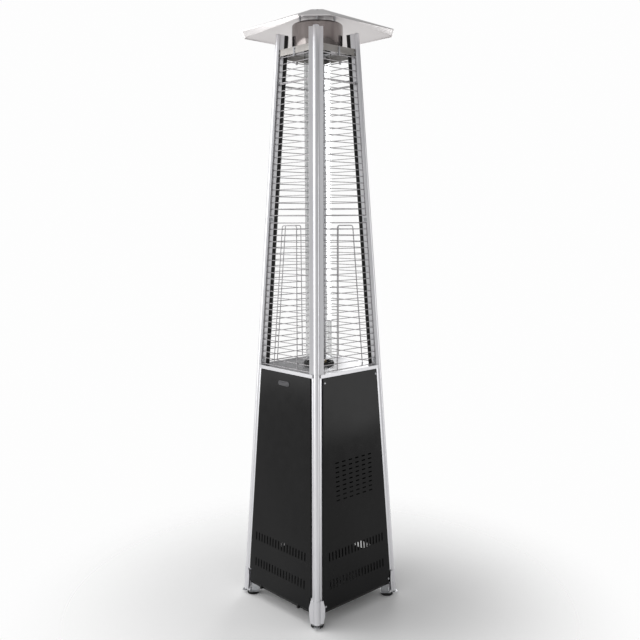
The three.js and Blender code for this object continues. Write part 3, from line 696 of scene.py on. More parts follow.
def upper_post_section():
    """The same nose on two flat flanges, with two webs that run inward behind them."""
    inner = NOSE - POST_WALL
    back = FLANGE_DEPTH + POST_WALL
    half = [
        (-FLANGE_DEPTH, NOSE), (-FLANGE_DEPTH, FLANGE_HALF),
        (-back, FLANGE_HALF), (-back, WEB_HALF),
        (-WEB_END, WEB_HALF), (-WEB_END, WEB_HALF - POST_WALL),
        (-back, WEB_HALF - POST_WALL), (-back, inner),
    ]
    centre = (-NOSE, 0)
    return [*arc(centre, NOSE, -90, 90, 28), *half, *arc(centre, inner, 90, -90, 16), *mirror(half)]


def cap_outline(shrink):
    """The nose's outline closed straight across its back, for a plug in the post's top."""
    radius = NOSE - shrink
    back = -FLANGE_DEPTH + shrink
    return [*arc((-NOSE, 0), radius, -90, 90, 24), (back, radius), (back, -radius)]


def channel_section():
    """A U that opens outward between the post's webs."""
    outside = WEB_HALF - POST_WALL - GAP
    inside = outside - CHANNEL_WALL
    half = [(CHANNEL_WALL - CHANNEL_END, inside), (-CHANNEL_START, inside),
            (-CHANNEL_START, outside), (-CHANNEL_END, outside)]
    return half + mirror(half)


CHANNEL_LIFT = 0.004          # its foot stands clear of the deck, its head short of the post's
CHANNEL_SHORTFALL = 0.002
CAP_LEVELS = [(0.0, 0.0), (0.0, 0.0012), (0.0006, 0.0024), (0.0018, 0.0033), (0.0040, 0.0038)]


def add_posts(materials):
    for k, corner in enumerate(CORNERS):
        matrix = corner_matrix(k)
        lower = prism(lower_post_section(), along_post(POST_BOTTOM), along_post(POST_JOINT - GAP))
        upper = prism(upper_post_section(), along_post(POST_JOINT), along_post(POST_TOP))
        for part, shape in (("lower", lower), ("upper", upper)):
            piece(f"corner_post_{part}_{corner}", shape, materials["satin"],
                  stands_for=[f"{part}_post_{corner}"], matrix=matrix, bevel=0.0004)
        top = along_post(POST_TOP)
        rings = [ring_at(cap_outline(shrink), top + rise) for shrink, rise in CAP_LEVELS]
        piece(f"post_cap_{corner}", rings_to_shape(rings), materials["satin"],
              matrix=matrix)
        foot = along_post(POST_JOINT + CHANNEL_LIFT)
        channel = prism(channel_section(), foot, top - CHANNEL_SHORTFALL)
        piece(f"corner_channel_{corner}", channel, materials["black_steel"],
              stands_for=[f"inner_channel_{corner}"], matrix=matrix, bevel=0.0003, sharp=50)


# ---- feet
COVER_WALL = 0.0012
COVER_SECTIONS = [            # height, and the flank's end sideways and along the diagonal
    (0.021, 0.025, -0.015),
    (0.050, 0.0295, -0.017),
    (0.076, 0.030, -0.017),
    (0.107, 0.024, -0.014),
]
COVER_LEVELS = 15
COVER_CLEARANCE = 0.0005


def cover_section_at(z):
    """Flank end (y, x) of a foot cover at a height, on a smooth curve through its sections."""
    heights = [section[0] for section in COVER_SECTIONS]
    upper = min(max(sum(z >= height for height in heights), 1), len(heights) - 1)
    low, high = COVER_SECTIONS[upper - 1], COVER_SECTIONS[upper]
    t = (z - low[0]) / (high[0] - low[0])
    t = t * t * (3 - 2 * t)
    return low[1] + (high[1] - low[1]) * t, low[2] + (high[2] - low[2]) * t


def cover_ring(z):
    """A foot cover's section: a round nose with a slightly bowed flank on each side."""
    flank_y, flank_x = cover_section_at(z)
    inside = NOSE + COVER_CLEARANCE
    bow, half_bow = Vector((0.0006, 0)), Vector((0.0002, 0))

    def side(radius, reach, end_x):
        nose = arc((-NOSE, 0), radius, -reach, reach, 24)
        flanks = []
        for y, start in ((-flank_y, nose[0]), (flank_y, nose[-1])):
            corner = Vector((end_x, y))
            middle = corner.lerp(Vector(start), 0.5) + bow
            flanks.append([corner, corner.lerp(middle, 0.5) + half_bow, middle])
        return [*flanks[0], *nose, *reversed(flanks[1])]

    outer = side(inside + COVER_WALL, 81, flank_x)
    inner = side(inside, 88, flank_x - COVER_WALL)
    return ring_at([*outer, *reversed(inner)], along_post(z))


def hex_head(radius, height):
    """A hexagon bolt head with a chamfered top and its washer, standing on z = 0."""
    hexagon = circle(radius, 6)
    chamfer = circle(radius * 0.88, 6)
    washer_radius, washer_top = radius * 1.35, 0.0008
    washer = turned([(0, 0), (washer_radius, 0), (washer_radius, washer_top), (0, washer_top)], 32)
    rings = [ring_at(hexagon, washer_top), ring_at(hexagon, height * 0.85), ring_at(chamfer, height)]
    return joined(washer, rings_to_shape(rings))


def hex_nut(radius, bore, height):
    """A hexagon nut with a plain round bore, standing on z = 0."""
    steps = 48
    hole = circle(bore, steps)
    outline = []
    for i, (x, y) in enumerate(circle(1, steps)):
        from_flat = 2 * math.pi * i / steps % (math.pi / 3) - math.pi / 6
        reach = radius * math.cos(math.pi / 6) / math.cos(from_flat)
        outline.append((reach * x, reach * y))
    loops = ((hole, 0), (outline, 0), (outline, height), (hole, height))
    return rings_to_shape([ring_at(loop, z) for loop, z in loops], loop=True)


FOOT_CENTRE = 0.270           # along the diagonal, from the axis
FOOT_TOP = 0.0107
BOLT_CENTRE = 0.261
BRACKET_TOP = 0.048


def add_feet(materials):
    """At each corner a cover, the bracket under the post with its bolt, and a turned rubber foot."""
    low, high = COVER_SECTIONS[0][0], COVER_SECTIONS[-1][0]
    heights = [low + (high - low) * i / (COVER_LEVELS - 1) for i in range(COVER_LEVELS)]
    cover = rings_to_shape([cover_ring(z) for z in heights])
    bolt = moved(hex_head(0.0055, 0.0052), BOLT_CENTRE, 0, BRACKET_TOP)
    rubber = turned([
        (0, 0.0004), (0.0150, 0.0004), (0.0156, 0), (0.0206, 0), (0.0226, 0.0006), (0.0238, 0.0020),
        (0.0240, 0.0040), (0.0236, 0.0046), (0.0236, 0.0056), (0.0240, 0.0062),
        (0.0240, FOOT_TOP - 0.0014), (0.0232, FOOT_TOP - 0.0004), (0.0220, FOOT_TOP), (0, FOOT_TOP),
    ], 56)
    rubber = moved(rubber, FOOT_CENTRE, 0, 0)
    for k, corner in enumerate(CORNERS):
        piece(f"foot_boot_{corner}", cover, materials["satin"],
              stands_for=[f"foot_cover_{corner}"], matrix=corner_matrix(k), bevel=0.00035, sharp=40)
        upright = corner_matrix(k, leaning=False)
        piece(f"foot_block_{corner}", cad_shape(f"foot_bracket_{corner}"), materials["zinc"],
              stands_for=[f"foot_bracket_{corner}"], bevel=0.0006, sharp=30)
        piece(f"foot_bolt_{corner}", bolt, materials["zinc"], matrix=upright, bevel=0.0003)
        piece(f"foot_pad_{corner}", rubber, materials["rubber"],
              stands_for=[f"rubber_foot_{corner}"], matrix=upright)


# ---- base shelf and panels
def panel_outline(notched):
    """A panel's outline on its face; the door's lower corners are notched to clear the feet."""
    steps = [(PANEL_BOTTOM, PANEL_EDGE)]
    if notched:
        steps = [(PANEL_BOTTOM, DOOR_NOTCH_EDGE), (DOOR_NOTCH_Z, DOOR_NOTCH_EDGE)]
        steps.append((DOOR_NOTCH_Z, PANEL_EDGE))
    steps.append((PANEL_TOP, PANEL_EDGE))
    right = [Vector((half_width(z, edge), up_face(z))) for z, edge in steps]
    left = [Vector((-x, y)) for x, y in reversed(right)]
    return right + left


def slot_loop(x, y, width, height, grow):
    """A slot with round ends, its long side along the larger of width and height."""
    radius = min(width, height) / 2
    reach = (max(width, height) - min(width, height)) / 2
    points = arc((reach, 0), radius + grow, -90, 90, 5) + arc((-reach, 0), radius + grow, 90, 270, 5)
    if height > width:
        points = [(-py, px) for px, py in points]
    return [(x + px, y + py) for px, py in points]


FLOOR_VENTS = dict(
    columns=18, rows=2, pitch_x=0.0168, pitch_z=0.105, width=0.0055, height=0.034, centre_z=0.205)
SIDE_VENTS = dict(
    columns=6, rows=9, pitch_x=0.0348, pitch_z=0.0177, width=0.019, height=0.0045, centre_z=0.5305)


def slot_places(columns, rows, pitch_x, pitch_z, centre_z, **size):
    """Where each slot of a grid of vents is, on a face."""
    for row in range(rows):
        for column in range(columns):
            x = (column - (columns - 1) / 2) * pitch_x
            z = centre_z + (row - (rows - 1) / 2) * pitch_z
            yield x, up_face(z)


CORNER_ROUNDING = 0.003       # of a panel's outline
SLOT_EDGE = 0.00025           # rounding of a slot's front edge


def pressed_panel(vents, notched=False):
    """Sheet with its edges folded back on a radius and slots punched through it."""
    back = FIN_FACE + GAP
    outline = rounded_outline(panel_outline(notched), CORNER_ROUNDING)
    steps = 5
    inner_fold = PANEL_FOLD - PANEL_SHEET
    profile = []
    for i in range(steps + 1):
        angle = math.pi / 2 * i / steps
        profile.append((PANEL_FOLD * (1 - math.sin(angle)), PANEL_FACE - PANEL_FOLD * (1 - math.cos(angle))))
    profile += [(0, back), (PANEL_SHEET, back)]
    for i in range(steps + 1):
        angle = math.pi / 2 * (1 - i / steps)
        profile.append((PANEL_SHEET + inner_fold * (1 - math.sin(angle)),
                        PANEL_FACE - PANEL_SHEET - inner_fold * (1 - math.cos(angle))))
    rings = [ring_at(inset(outline, depth), height) for depth, height in profile]
    shapes = [rings_to_shape(rings, closed_ends=False)]
    front_holes, back_holes = [], []
    for grid in vents:
        for x, y in slot_places(**grid):
            size = (x, y, grid["width"], grid["height"])
            loops = [(SLOT_EDGE, PANEL_FACE), (0, PANEL_FACE - SLOT_EDGE), (0, PANEL_FACE - PANEL_SHEET)]
            walls = [ring_at(slot_loop(*size, grow), height) for grow, height in loops]
            shapes.append(rings_to_shape(walls, closed_ends=False))
            front_holes.append(slot_loop(*size, SLOT_EDGE))
            back_holes.append(slot_loop(*size, 0))
    edge = inset(outline, PANEL_FOLD)
    shapes.append(pierced_plane(edge, front_holes, PANEL_FACE, True))
    shapes.append(pierced_plane(edge, back_holes, PANEL_FACE - PANEL_SHEET, False))
    return joined(*shapes)


def screw_head(radius):
    """A pan head with a cross recess: four raised quarters round a sunk cross."""
    dome = turned([(0, 0), (radius, 0), (radius, radius * 0.25), (radius * 0.92, radius * 0.42),
                   (radius * 0.70, radius * 0.56), (0, radius * 0.60)], 24)
    arm, slit = radius * 0.55, radius * 0.11
    cross = []
    for quarter in range(4):
        turn = Matrix.Rotation(quarter * math.pi / 2, 4, "Z")
        rib = block((slit, slit, radius * 0.5), (arm, arm, radius * 0.68))
        cross.append(placed(rib, turn))
    return joined(dome, *cross)


def screws_at(places, size):
    """Screw heads on a face at (x, height, out)."""
    return joined(*[moved(screw_head(size), x, up_face(z), out) for x, z, out in places])


PANEL_SCREW = 0.0042          # radius of its head
PANEL_SCREW_PLACES = ((0.907, 0.0095), (0.078, 0.0130))   # height, and distance in from the edge


def add_panels(materials):
    vents = {"right": [FLOOR_VENTS, SIDE_VENTS]}
    for k, side in enumerate(SIDES):
        node = "door" if side == "front" else f"{side}_panel"
        body = "door" if side == "front" else "root"
        shape = pressed_panel(vents.get(side, [FLOOR_VENTS]), notched=side == "front")
        piece(f"{node}_sheet", shape, materials["powder"], body=body,
              stands_for=[node], matrix=face_matrix(k), sharp=30)
        if side == "front":
            continue
        places = []
        for z, from_edge in PANEL_SCREW_PLACES:
            x = half_width(z, PANEL_EDGE + from_edge)
            places += [(-x, z, PANEL_FACE), (x, z, PANEL_FACE)]
        piece(f"{side}_panel_screws", screws_at(places, PANEL_SCREW), materials["zinc"],
              matrix=face_matrix(k), sharp=40)
    add_door_details(materials)


HINGE_X, HINGE_Z, HINGE_OUT = 0.110, 0.064, 0.0015
PIN_HALF_LENGTH, PIN_RADIUS = 0.009, 0.0015
BADGE_X, BADGE_Z = -0.004, 0.886
BADGE_WIDTH, BADGE_HEIGHT = 0.064, 0.018
BADGE_LEVELS = [(0, 0.0001), (0, 0.0010), (0.0005, 0.0015), (0.0022, 0.0015), (0.0027, 0.0011)]


def add_door_details(materials):
    """Hinge pins and a blank badge, which move with the door."""
    matrix = face_matrix(0)
    pins = []
    for x in (-HINGE_X, HINGE_X):
        ends = [(x + reach, up_face(HINGE_Z), HINGE_OUT) for reach in (-PIN_HALF_LENGTH, PIN_HALF_LENGTH)]
        pins.append(wire(ends, PIN_RADIUS, 20))
    piece("door_hinge_pins", joined(*pins), materials["zinc"], body="door", matrix=matrix)
    outline = slot_loop(BADGE_X, up_face(BADGE_Z), BADGE_WIDTH, BADGE_HEIGHT, 0)
    rings = [ring_at(inset(outline, depth), PANEL_FACE + rise) for depth, rise in BADGE_LEVELS]
    piece("door_badge", rings_to_shape(rings), materials["badge"], body="door", matrix=matrix)


def add_shelf(materials):
    piece("cylinder_shelf", cad_shape("base_shelf"), materials["black_steel"],
          stands_for=["base_shelf"], bevel=0.0005, sharp=25)


# ---- deck, burner and controls
COLLAR_SCREW_CIRCLE = 0.0665


def add_deck(materials):
    piece("deck_plate", cad_shape("burner_deck"), materials["deck"],
          stands_for=["burner_deck"], bevel=0.00045, sharp=25)
    seat = TUBE_BOTTOM - GAP - DECK_TOP
    profile = [
        (0.046, GAP), (0.0590, GAP), (0.060, 0.001), (0.060, 0.0035), (0.0585, 0.0080), (0.0572, 0.0120),
        (0.0560, 0.0130), (0.0518, 0.0130), (0.0510, 0.0122), (0.0510, seat), (0.046, seat), (0.046, GAP),
    ]
    ring = turned([(radius, DECK_TOP + rise) for radius, rise in profile], 96)
    heads = []
    for i in range(4):
        turn = Matrix.Rotation(math.radians(45 + 90 * i), 4, "Z")
        heads.append(placed(moved(screw_head(0.0030), COLLAR_SCREW_CIRCLE, 0, DECK_TOP + GAP), turn))
    piece("tube_collar", ring, materials["black_steel"], stands_for=["tube_ring"])
    piece("tube_collar_screws", joined(*heads), materials["zinc"], sharp=40)


SLOT_DEPTH = 0.0022           # of the burner head's flame slots
BURNER_FLOOR = 0.904
HEAD_BOTTOM, HEAD_TOP, HEAD_RADIUS = 0.930, 0.957, 0.026


def slotted_head(radius, low, high, slots=30):
    """The burner's head: a drum whose wall is cut by upright flame slots."""
    steps = slots * 4
    smooth, deep = circle(radius, steps), circle(radius - SLOT_DEPTH, steps)
    slotted = [deep[i] if i % 4 in (2, 3) else smooth[i] for i in range(steps)]

    def ring(outline, z, scale=1.0):
        return ring_at([(x * scale, y * scale) for x, y in outline], z)

    return rings_to_shape([
        ring(smooth, low, 0.55), ring(smooth, low + 0.003), ring(smooth, low + 0.0045),
        ring(slotted, low + 0.0047), ring(slotted, high - 0.0065),
        ring(smooth, high - 0.0063), ring(smooth, high - 0.004, 0.99), ring(smooth, high - 0.0012, 0.88),
        ring(smooth, high, 0.70), ring(smooth, high, 0.20),
    ])


def add_burner(materials):
    """A cup that hangs from the deck by its flange, with the burner's head on a stalk in it."""
    floor, wall = BURNER_FLOOR, 0.0015
    flange_top = DECK_TOP - wall - GAP
    cup = turned([
        (0, floor), (0.0425, floor), (0.0440, floor + wall), (0.0440, flange_top - wall),
        (0.060, flange_top - wall), (0.060, flange_top), (0.0425, flange_top), (0.0425, floor + 0.0025),
        (0.0415, floor + wall), (0.0140, floor + wall), (0.0140, HEAD_BOTTOM), (0, HEAD_BOTTOM),
    ], 72)
    head = slotted_head(HEAD_RADIUS, HEAD_BOTTOM, HEAD_TOP)
    piece("burner_cup", joined(cup, head), materials["brushed"],
          stands_for=["burner"], sharp=30)
    piece("pilot_burner", cad_shape("pilot_assembly"), materials["brass"],
          stands_for=["pilot_assembly"], bevel=0.0004, sharp=50)


CONTROLS_Z = 0.850
PLATE_Y = -0.118
KNOB_X = -0.038
IGNITER_X = 0.038


def on_control(x):
    """Frame of a control: z points out of the plate towards the front."""
    return Matrix.Translation((x, PLATE_Y, CONTROLS_Z)) @ Matrix.Rotation(math.pi / 2, 4, "X")


def add_knob(materials):
    """The knob with its pointer, the valve's spindle, and the scale of marks round the knob."""
    dial = turned([
        (0.0034, 0.0052), (0.0150, 0.0052), (0.0166, 0.0060), (0.0170, 0.0072), (0.0170, 0.0110),
        (0.0163, 0.0132), (0.0150, 0.0140), (0.0034, 0.0140), (0.0034, 0.0052),
    ], 64)
    grip = [(0.0040, -0.0135), (0.0040, 0.0135), (0.0020, 0.0158), (-0.0020, 0.0158),
            (-0.0040, 0.0135), (-0.0040, -0.0135), (-0.0020, -0.0150), (0.0020, -0.0150)]
    levels = ((0.0135, 1.05), (0.018, 0.98), (0.025, 0.90), (0.0268, 0.72), (0.0270, 0.45))
    rings = [ring_at([(x * share, y * (0.9 + 0.1 * share)) for x, y in grip], z) for z, share in levels]
    piece("heat_knob", joined(dial, rings_to_shape(rings)), materials["plastic"],
          body="control_knob", stands_for=["control_knob"], matrix=on_control(KNOB_X), bevel=0.0003)
    pointer = block((-0.0007, 0.0060, 0.0266), (0.0007, 0.0140, 0.0272))
    piece("knob_pointer", pointer, materials["zinc"], body="control_knob",
          matrix=on_control(KNOB_X), bevel=0.00015)
    stem = turned([(0, -0.0055), (0.0030, -0.0055), (0.0030, 0.0122), (0.0022, 0.0130), (0, 0.0130)], 32)
    piece("valve_spindle", stem, materials["zinc"], body="valve_stem",
          stands_for=["valve_stem"], matrix=on_control(KNOB_X))
    marks = []
    for step in range(7):
        turn = Matrix.Rotation(math.radians(-20 * step), 4, "Z")
        length = 0.0050 if step % 3 == 0 else 0.0032
        marks.append(placed(block((-0.0005, 0.0205, 0.0001), (0.0005, 0.0205 + length, 0.0005)), turn))
    piece("heat_scale", joined(*marks), materials["zinc"], matrix=on_control(KNOB_X))


def add_igniter(materials):
    """Push button in its threaded housing, held by a nut behind the plate."""
    body = turned([
        (0.0070, -0.0100), (0.0070, 0.0036), (0.0078, 0.0040), (0.0112, 0.0040), (0.0120, 0.0032),
        (0.0120, 0.0003), (0.0090, 0.0003), (0.0090, -0.0340), (0.0080, -0.0360), (0, -0.0360),
        (0, -0.0100), (0.0070, -0.0100),
    ], 56)
    piece("igniter_housing", body, materials["plastic"], stands_for=["igniter_body"],
          matrix=on_control(IGNITER_X))
    button = turned([
        (0, -0.0040), (0.0066, -0.0040), (0.0066, 0.0090), (0.0060, 0.0104), (0.0046, 0.0110),
        (0.0030, 0.0107), (0, 0.0104),
    ], 48)
    piece("igniter_cap", button, materials["red"], body="igniter_button",
          stands_for=["igniter_button"], matrix=on_control(IGNITER_X))
    nut = moved(hex_nut(0.0125, 0.0092, 0.0040), 0, 0, -0.0070)
    piece("igniter_nut", nut, materials["zinc"], matrix=on_control(IGNITER_X), bevel=0.0003)


INLET_BACK = 0.022            # the valve's inlet and outlet, behind the plate
OUTLET_BACK = 0.033


def add_valve(materials):
    """Brass valve body with an inlet below and an outlet above, and the pipe up to the burner."""
    body = turned([
        (0.0040, -0.0018), (0.0135, -0.0018), (0.0160, -0.0034), (0.0160, -0.0120), (0.0150, -0.0128),
        (0.0150, -0.0300), (0.0160, -0.0308), (0.0160, -0.0400), (0.0145, -0.0418), (0, -0.0418),
        (0, -0.0108), (0.0040, -0.0108), (0.0040, -0.0018),
    ], 56)
    inlet = turned([(0, -0.042), (0.0040, -0.042), (0.0076, -0.042), (0.0080, -0.0412), (0.0080, -0.0330),
                    (0.0074, -0.0325), (0.0074, -0.0195), (0.0080, -0.0190), (0.0080, 0), (0, 0)], 40)
    nut = moved(hex_head(0.0118, 0.0120), 0, 0, -0.0325)
    outlet = turned([(0, 0), (0.0070, 0), (0.0070, 0.0120), (0.0062, 0.0128), (0.0062, 0.0190),
                     (0.0056, 0.020), (0, 0.020)], 40)
    at_inlet = (KNOB_X, PLATE_Y + INLET_BACK, CONTROLS_Z)
    at_outlet = (KNOB_X, PLATE_Y + OUTLET_BACK, CONTROLS_Z)
    shape = joined(placed(body, on_control(KNOB_X)), moved(inlet, *at_inlet),
                   moved(nut, *at_inlet), moved(outlet, *at_outlet))
    piece("valve_body", shape, materials["brass"], stands_for=["gas_valve"], sharp=30)
    x, y, z = at_outlet
    start, floor = z + 0.0203, BURNER_FLOOR
    points = [(x, y, start), (x, y, start + 0.005), (x * 0.85, y + 0.012, start + 0.014),
              (x * 0.4, y * 0.44, floor - 0.015), (-0.003, -0.009, floor - 0.013),
              (0, 0, floor - 0.007), (0, 0, floor - GAP)]
    piece("gas_feed_pipe", wire(smooth_path(points, 6), 0.0038, 20), materials["brass"],
          stands_for=["gas_pipe"])


def smooth_path(points, steps):
    """A Catmull-Rom curve through points."""
    points = [Vector(point) for point in points]
    padded = [points[0] * 2 - points[1], *points, points[-1] * 2 - points[-2]]
    path = []
    for a, b, c, d in zip(padded, padded[1:], padded[2:], padded[3:]):
        for i in range(steps):
            t = i / steps
            path.append(0.5 * (2 * b + (c - a) * t + (2 * a - 5 * b + 4 * c - d) * t ** 2
                               + (3 * b - a - 3 * c + d) * t ** 3))
    return [*path, points[-1]]


def add_controls(materials):
    piece("control_panel", cad_shape("control_plate"), materials["black_steel"],
          stands_for=["control_plate"], bevel=0.0004, sharp=30)
    add_knob(materials)
    add_igniter(materials)
    add_valve(materials)


# ---- flame tube, top frame, flame screen and hood
def add_flame_tube(materials):
    """A quartz tube with both its ends fire-rounded."""
    outer, inner = 0.050, 0.0475
    middle, lip = (outer + inner) / 2, (outer - inner) / 2
    profile = [(inner, TUBE_BOTTOM + lip), (inner, TUBE_TOP - lip)]
    profile += arc((middle, TUBE_TOP - lip), lip, 180, 0, 6)
    profile += arc((middle, TUBE_BOTTOM + lip), lip, 0, -180, 6)
    piece("flame_tube", turned(profile, 128), materials["quartz"],
          stands_for=["quartz_tube"], sharp=60)


def bar_clip():
    """A strap hooked over the middle of a top bar, with its screw and the bar's two end screws."""
    out, thick = 0.0023, 0.0016
    top, bottom = up_face(BAR_TOP - 0.002), up_face(BAR_BOTTOM - 0.010)
    strap = [(out, top), (out + thick, top), (out + thick, bottom + 0.004), (out + 0.0040, bottom),
             (out + 0.0030, bottom - 0.0012), (out, bottom + 0.0032)]
    rings = [[Vector((x, y, n)) for n, y in strap] for x in (-0.0042, 0.0042)]
    end, middle = half_width(BAR_BOTTOM, 0.034), up_face(BAR_BOTTOM + 0.0125)
    screws = [moved(screw_head(0.0030), x, middle, out) for x in (-end, end)]
    screws.append(moved(screw_head(0.0032), 0, up_face(BAR_TOP - 0.0085), out + thick))
    return joined(rings_to_shape(rings), *screws)


def add_top_frame(materials):
    for k, side in enumerate(SIDES):
        piece(f"crown_bar_{side}", cad_shape(f"top_bar_{side}"), materials["brushed"],
              stands_for=[f"top_bar_{side}"], bevel=0.0004, sharp=25)
        piece(f"crown_bar_clip_{side}", bar_clip(), materials["zinc"],
              matrix=face_matrix(k), bevel=0.0002, sharp=40)
    piece("tube_guide_plate", cad_shape("tube_top_plate"), materials["deck"],
          stands_for=["tube_top_plate"], bevel=0.0004, sharp=25)


SEAM_TURN = Matrix.Rotation(math.radians(205), 4, "Z")


def add_flame_screen(materials):
    """A drum with a rolled top edge and a round mouth, its seam riveted at the back."""
    low, high = (corner.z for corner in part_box("flame_screen"))
    radius, bend, sheet, mouth = 0.095, 0.009, 0.0015, 0.050
    profile = [(radius, low + 0.0008)]
    profile += arc((radius - bend, high - bend), bend, 0, 90, 8)
    profile += [(mouth + 0.0010, high), (mouth, high - sheet / 2), (mouth + 0.0010, high - sheet)]
    profile += arc((radius - bend, high - bend), bend - sheet, 90, 0, 8)
    profile += [(radius - sheet, low + 0.0008), (radius - sheet / 2, low), (radius, low + 0.0008)]
    piece("flame_drum", turned(profile, 128), materials["polished"],
          stands_for=["flame_screen"], sharp=50)
    rivet = turned([(0.0022, 0), (0.0020, 0.0008), (0.0010, 0.0013), (0, 0.0014)], 20)
    seam = []
    for z in (low + 0.012, low + 0.055, low + 0.098):
        place = SEAM_TURN @ Matrix.Translation((radius - 0.0002, 0, z))
        seam.append(placed(rivet, place @ Matrix.Rotation(math.pi / 2, 4, "Y")))
    piece("flame_drum_rivets", joined(*seam), materials["zinc"])


HOOD_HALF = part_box("hood")[1].x
HOOD_CORNER = 0.280
HOOD_TOP_HALF = 0.0319
HOOD_TOP_CORNER = 0.024
HOOD_LIP = 0.004
HOOD_SHEET = 0.0015
HOOD_SLOPE = 0.081 / 0.256    # of the hood's corner lines
STANDOFF_CIRCLE = 0.064
STANDOFF_PLACE = Matrix.Translation((STANDOFF_CIRCLE, 0, 0))


def hood_ring(share, shrink, z):
    """A square with cut corners between the hood's rim (share 0) and its top plate (share 1)."""
    half = HOOD_HALF - shrink + (HOOD_TOP_HALF - HOOD_HALF) * share
    corner = HOOD_CORNER - shrink + (HOOD_TOP_CORNER - HOOD_CORNER) * share
    shoulder = corner * math.sqrt(2) - half
    ring = []
    for k in range(4):
        turn = Matrix.Rotation(k * math.pi / 2, 3, "Z")
        ring += [turn @ Vector((x, -half, z)) for x in (-shoulder, shoulder)]
    return ring


def add_canopy(materials):
    """The hood: a shallow pyramid of thin sheet with cut corners, a flat top and a turned-down hem."""
    fold = HOOD_LOW + HOOD_LIP
    rise = HOOD_TOP - fold

    def on_slope(share, below=0.0):
        return hood_ring(share, 0, fold + rise * share - below)

    outer = [on_slope(1.0), on_slope(0.5), on_slope(0.012)]
    levels = [(0.0010, fold + 0.0003), (0.0003, fold - 0.0004), (0, fold - 0.0014), (0, HOOD_LOW + 0.0004),
              (0.0004, HOOD_LOW), (0.0011, HOOD_LOW), (0.0015, HOOD_LOW + 0.0004), (0.0015, fold - 0.0022)]
    hem = [hood_ring(0, shrink, z) for shrink, z in levels]
    inner = [on_slope(0.018, HOOD_SHEET), on_slope(0.5, HOOD_SHEET), on_slope(1.0, HOOD_SHEET)]
    piece("hood_canopy", rings_to_shape(outer + hem + inner), materials["hood"],
          stands_for=["hood"], sharp=6)


def add_hood(materials):
    """The canopy on four turned stand-offs, each riveted through it."""
    add_canopy(materials)
    radius = 0.004
    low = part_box("flame_screen")[1].z + GAP
    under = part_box("hood_standoff_front_right")[1].z
    rod = turned([
        (0, low), (0.0056, low), (0.0058, low + 0.0008), (0.0058, low + 0.0020), (radius, low + 0.0026),
        (radius, under - 0.0010), (radius * 0.8, under), (0, under),
    ], 36)
    rivet = turned([(0, 0), (0.0075, 0), (0.0075, 0.0007), (0.0052, 0.0009), (0.0044, 0.0016),
                    (0, 0.0018)], 32)
    top = HOOD_TOP - HOOD_SLOPE * (STANDOFF_CIRCLE - HOOD_TOP_CORNER)
    tilt = Matrix.Rotation(math.atan(HOOD_SLOPE), 4, "Y")
    dome = placed(rivet, Matrix.Translation((STANDOFF_CIRCLE, 0, top)) @ tilt)
    for k, corner in enumerate(CORNERS):
        matrix = corner_matrix(k, leaning=False)
        piece(f"standoff_{corner}", rod, materials["zinc"], matrix=matrix @ STANDOFF_PLACE,
              stands_for=[f"hood_standoff_{corner}"])
        piece(f"hood_rivet_{corner}", dome, materials["zinc"], matrix=matrix)


# ---- wire guards
def level_wire(z, radius):
    """A wire straight across a guard at a height."""
    reach = half_width(z, GUARD_EDGE)
    return wire([(-reach, up_face(z), GUARD_DEPTH), (reach, up_face(z), GUARD_DEPTH)], radius)


def guard_wires(low, high):
    """Level wires between two side rods, with a heavier rod at each end of the guard."""
    rows = round((high - low - 2 * ROD) / GUARD_PITCH)
    pitch = (high - low - 2 * ROD) / rows
    shapes = []
    for side in (-1, 1):
        path = [(side * half_width(z, GUARD_EDGE), up_face(z), GUARD_DEPTH) for z in (low + ROD, high - ROD)]
        shapes.append(wire(path, ROD))
    for row in range(rows + 1):
        shapes.append(level_wire(low + ROD + row * pitch, ROD if row in (0, rows) else WIRE))
    return joined(*shapes)


LOOP_TOP = 1.476
LOOP_TOP_HALF = 0.040
LOOP_BOTTOM_HALF = 0.067
LOOP_WIRE = 0.0017


def guard_loop(low):
    """A hoop of heavier wire welded on the front of the lower guard, its top corners rounded."""
    out = GUARD_DEPTH + WIRE + ROD
    top, bottom = up_face(LOOP_TOP), up_face(low + 0.004)
    path = [(-LOOP_BOTTOM_HALF, bottom, out), (-LOOP_TOP_HALF, top, out),
            (LOOP_TOP_HALF, top, out), (LOOP_BOTTOM_HALF, bottom, out)]
    return wire(rounded_path(path, 0.010, 8), LOOP_WIRE)


CLIP_HALF_WIDTH = 0.0060


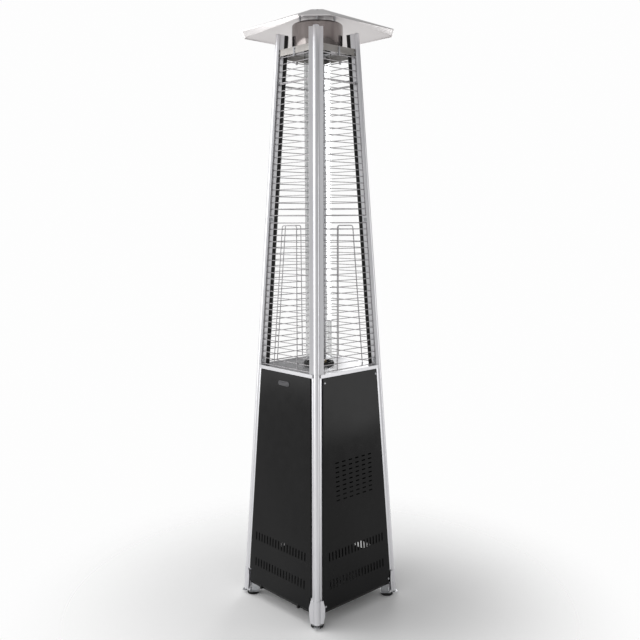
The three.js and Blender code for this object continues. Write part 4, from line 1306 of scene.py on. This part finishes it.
def guard_clip(x, z, side):
    """A bent strap over a guard's side rod, with its screw beside it."""
    strap = [(-0.0006, 0.0004), (0.0026, 0.0004), (0.0044, -0.0030), (0.0110, -0.0030),
             (0.0110, -0.0038), (0.0050, -0.0038), (0.0032, -0.0004), (-0.0006, -0.0004)]
    middle = up_face(z)
    rings = []
    for edge in (middle - CLIP_HALF_WIDTH, middle + CLIP_HALF_WIDTH):
        rings.append([Vector((x - side * inward, edge, out + 0.0008)) for inward, out in strap])
    head = moved(screw_head(0.0026), x - side * 0.0082, middle, -0.0021)
    return joined(rings_to_shape(rings), head)


CLIP_HEIGHTS = (0.958, 1.498, 2.000)


def add_guards(materials):
    """On each face a lower guard with a hoop and an upper guard with a stay, held by clips."""
    for k, side in enumerate(SIDES):
        lower = joined(guard_wires(*LOWER_GUARD), guard_loop(LOWER_GUARD[0]))
        upper = joined(guard_wires(*UPPER_GUARD), level_wire(CLIP_HEIGHTS[-1], STAY))
        for part, shape in (("lower", lower), ("upper", upper)):
            piece(f"{part}_wire_guard_{side}", shape, materials["wire"],
                  stands_for=[f"{part}_guard_{side}"], matrix=face_matrix(k), sharp=60)
        clips = []
        for z in CLIP_HEIGHTS:
            for hand in (-1, 1):
                clips.append(guard_clip(hand * half_width(z, GUARD_EDGE), z, hand))
        piece(f"guard_clips_{side}", joined(*clips), materials["zinc"],
              matrix=face_matrix(k), bevel=0.0002, sharp=30)


# ---- the whole
def make_materials():
    """Each finish is a material and the name of a slot."""
    return {
        "satin": (satin_aluminium(), "satin_aluminium"),
        "polished": (polished_steel(), "polished_steel"),
        "hood": (hood_steel(), "polished_steel"),
        "deck": (deck_steel(), "polished_steel"),
        "brushed": (brushed_steel(), "brushed_steel"),
        "wire": (guard_wire(), "guard_wire"),
        "powder": (powder_coat(), "black_paint"),
        "black_steel": (black_steel(), "black_steel"),
        "rubber": (black_rubber(), "black_rubber"),
        "plastic": (black_plastic(), "black_plastic"),
        "brass": (brass(), "brass"),
        "zinc": (zinc_plate(), "zinc_steel"),
        "quartz": (quartz_glass(), "quartz"),
        "red": (red_plastic(), "red_plastic"),
        "badge": (badge_silver(), "black_plastic"),
    }


def main():
    add_studio()
    materials = make_materials()
    add_posts(materials)
    add_feet(materials)
    add_shelf(materials)
    add_panels(materials)
    add_deck(materials)
    add_burner(materials)
    add_controls(materials)
    add_flame_tube(materials)
    add_top_frame(materials)
    add_flame_screen(materials)
    add_hood(materials)
    add_guards(materials)


main()
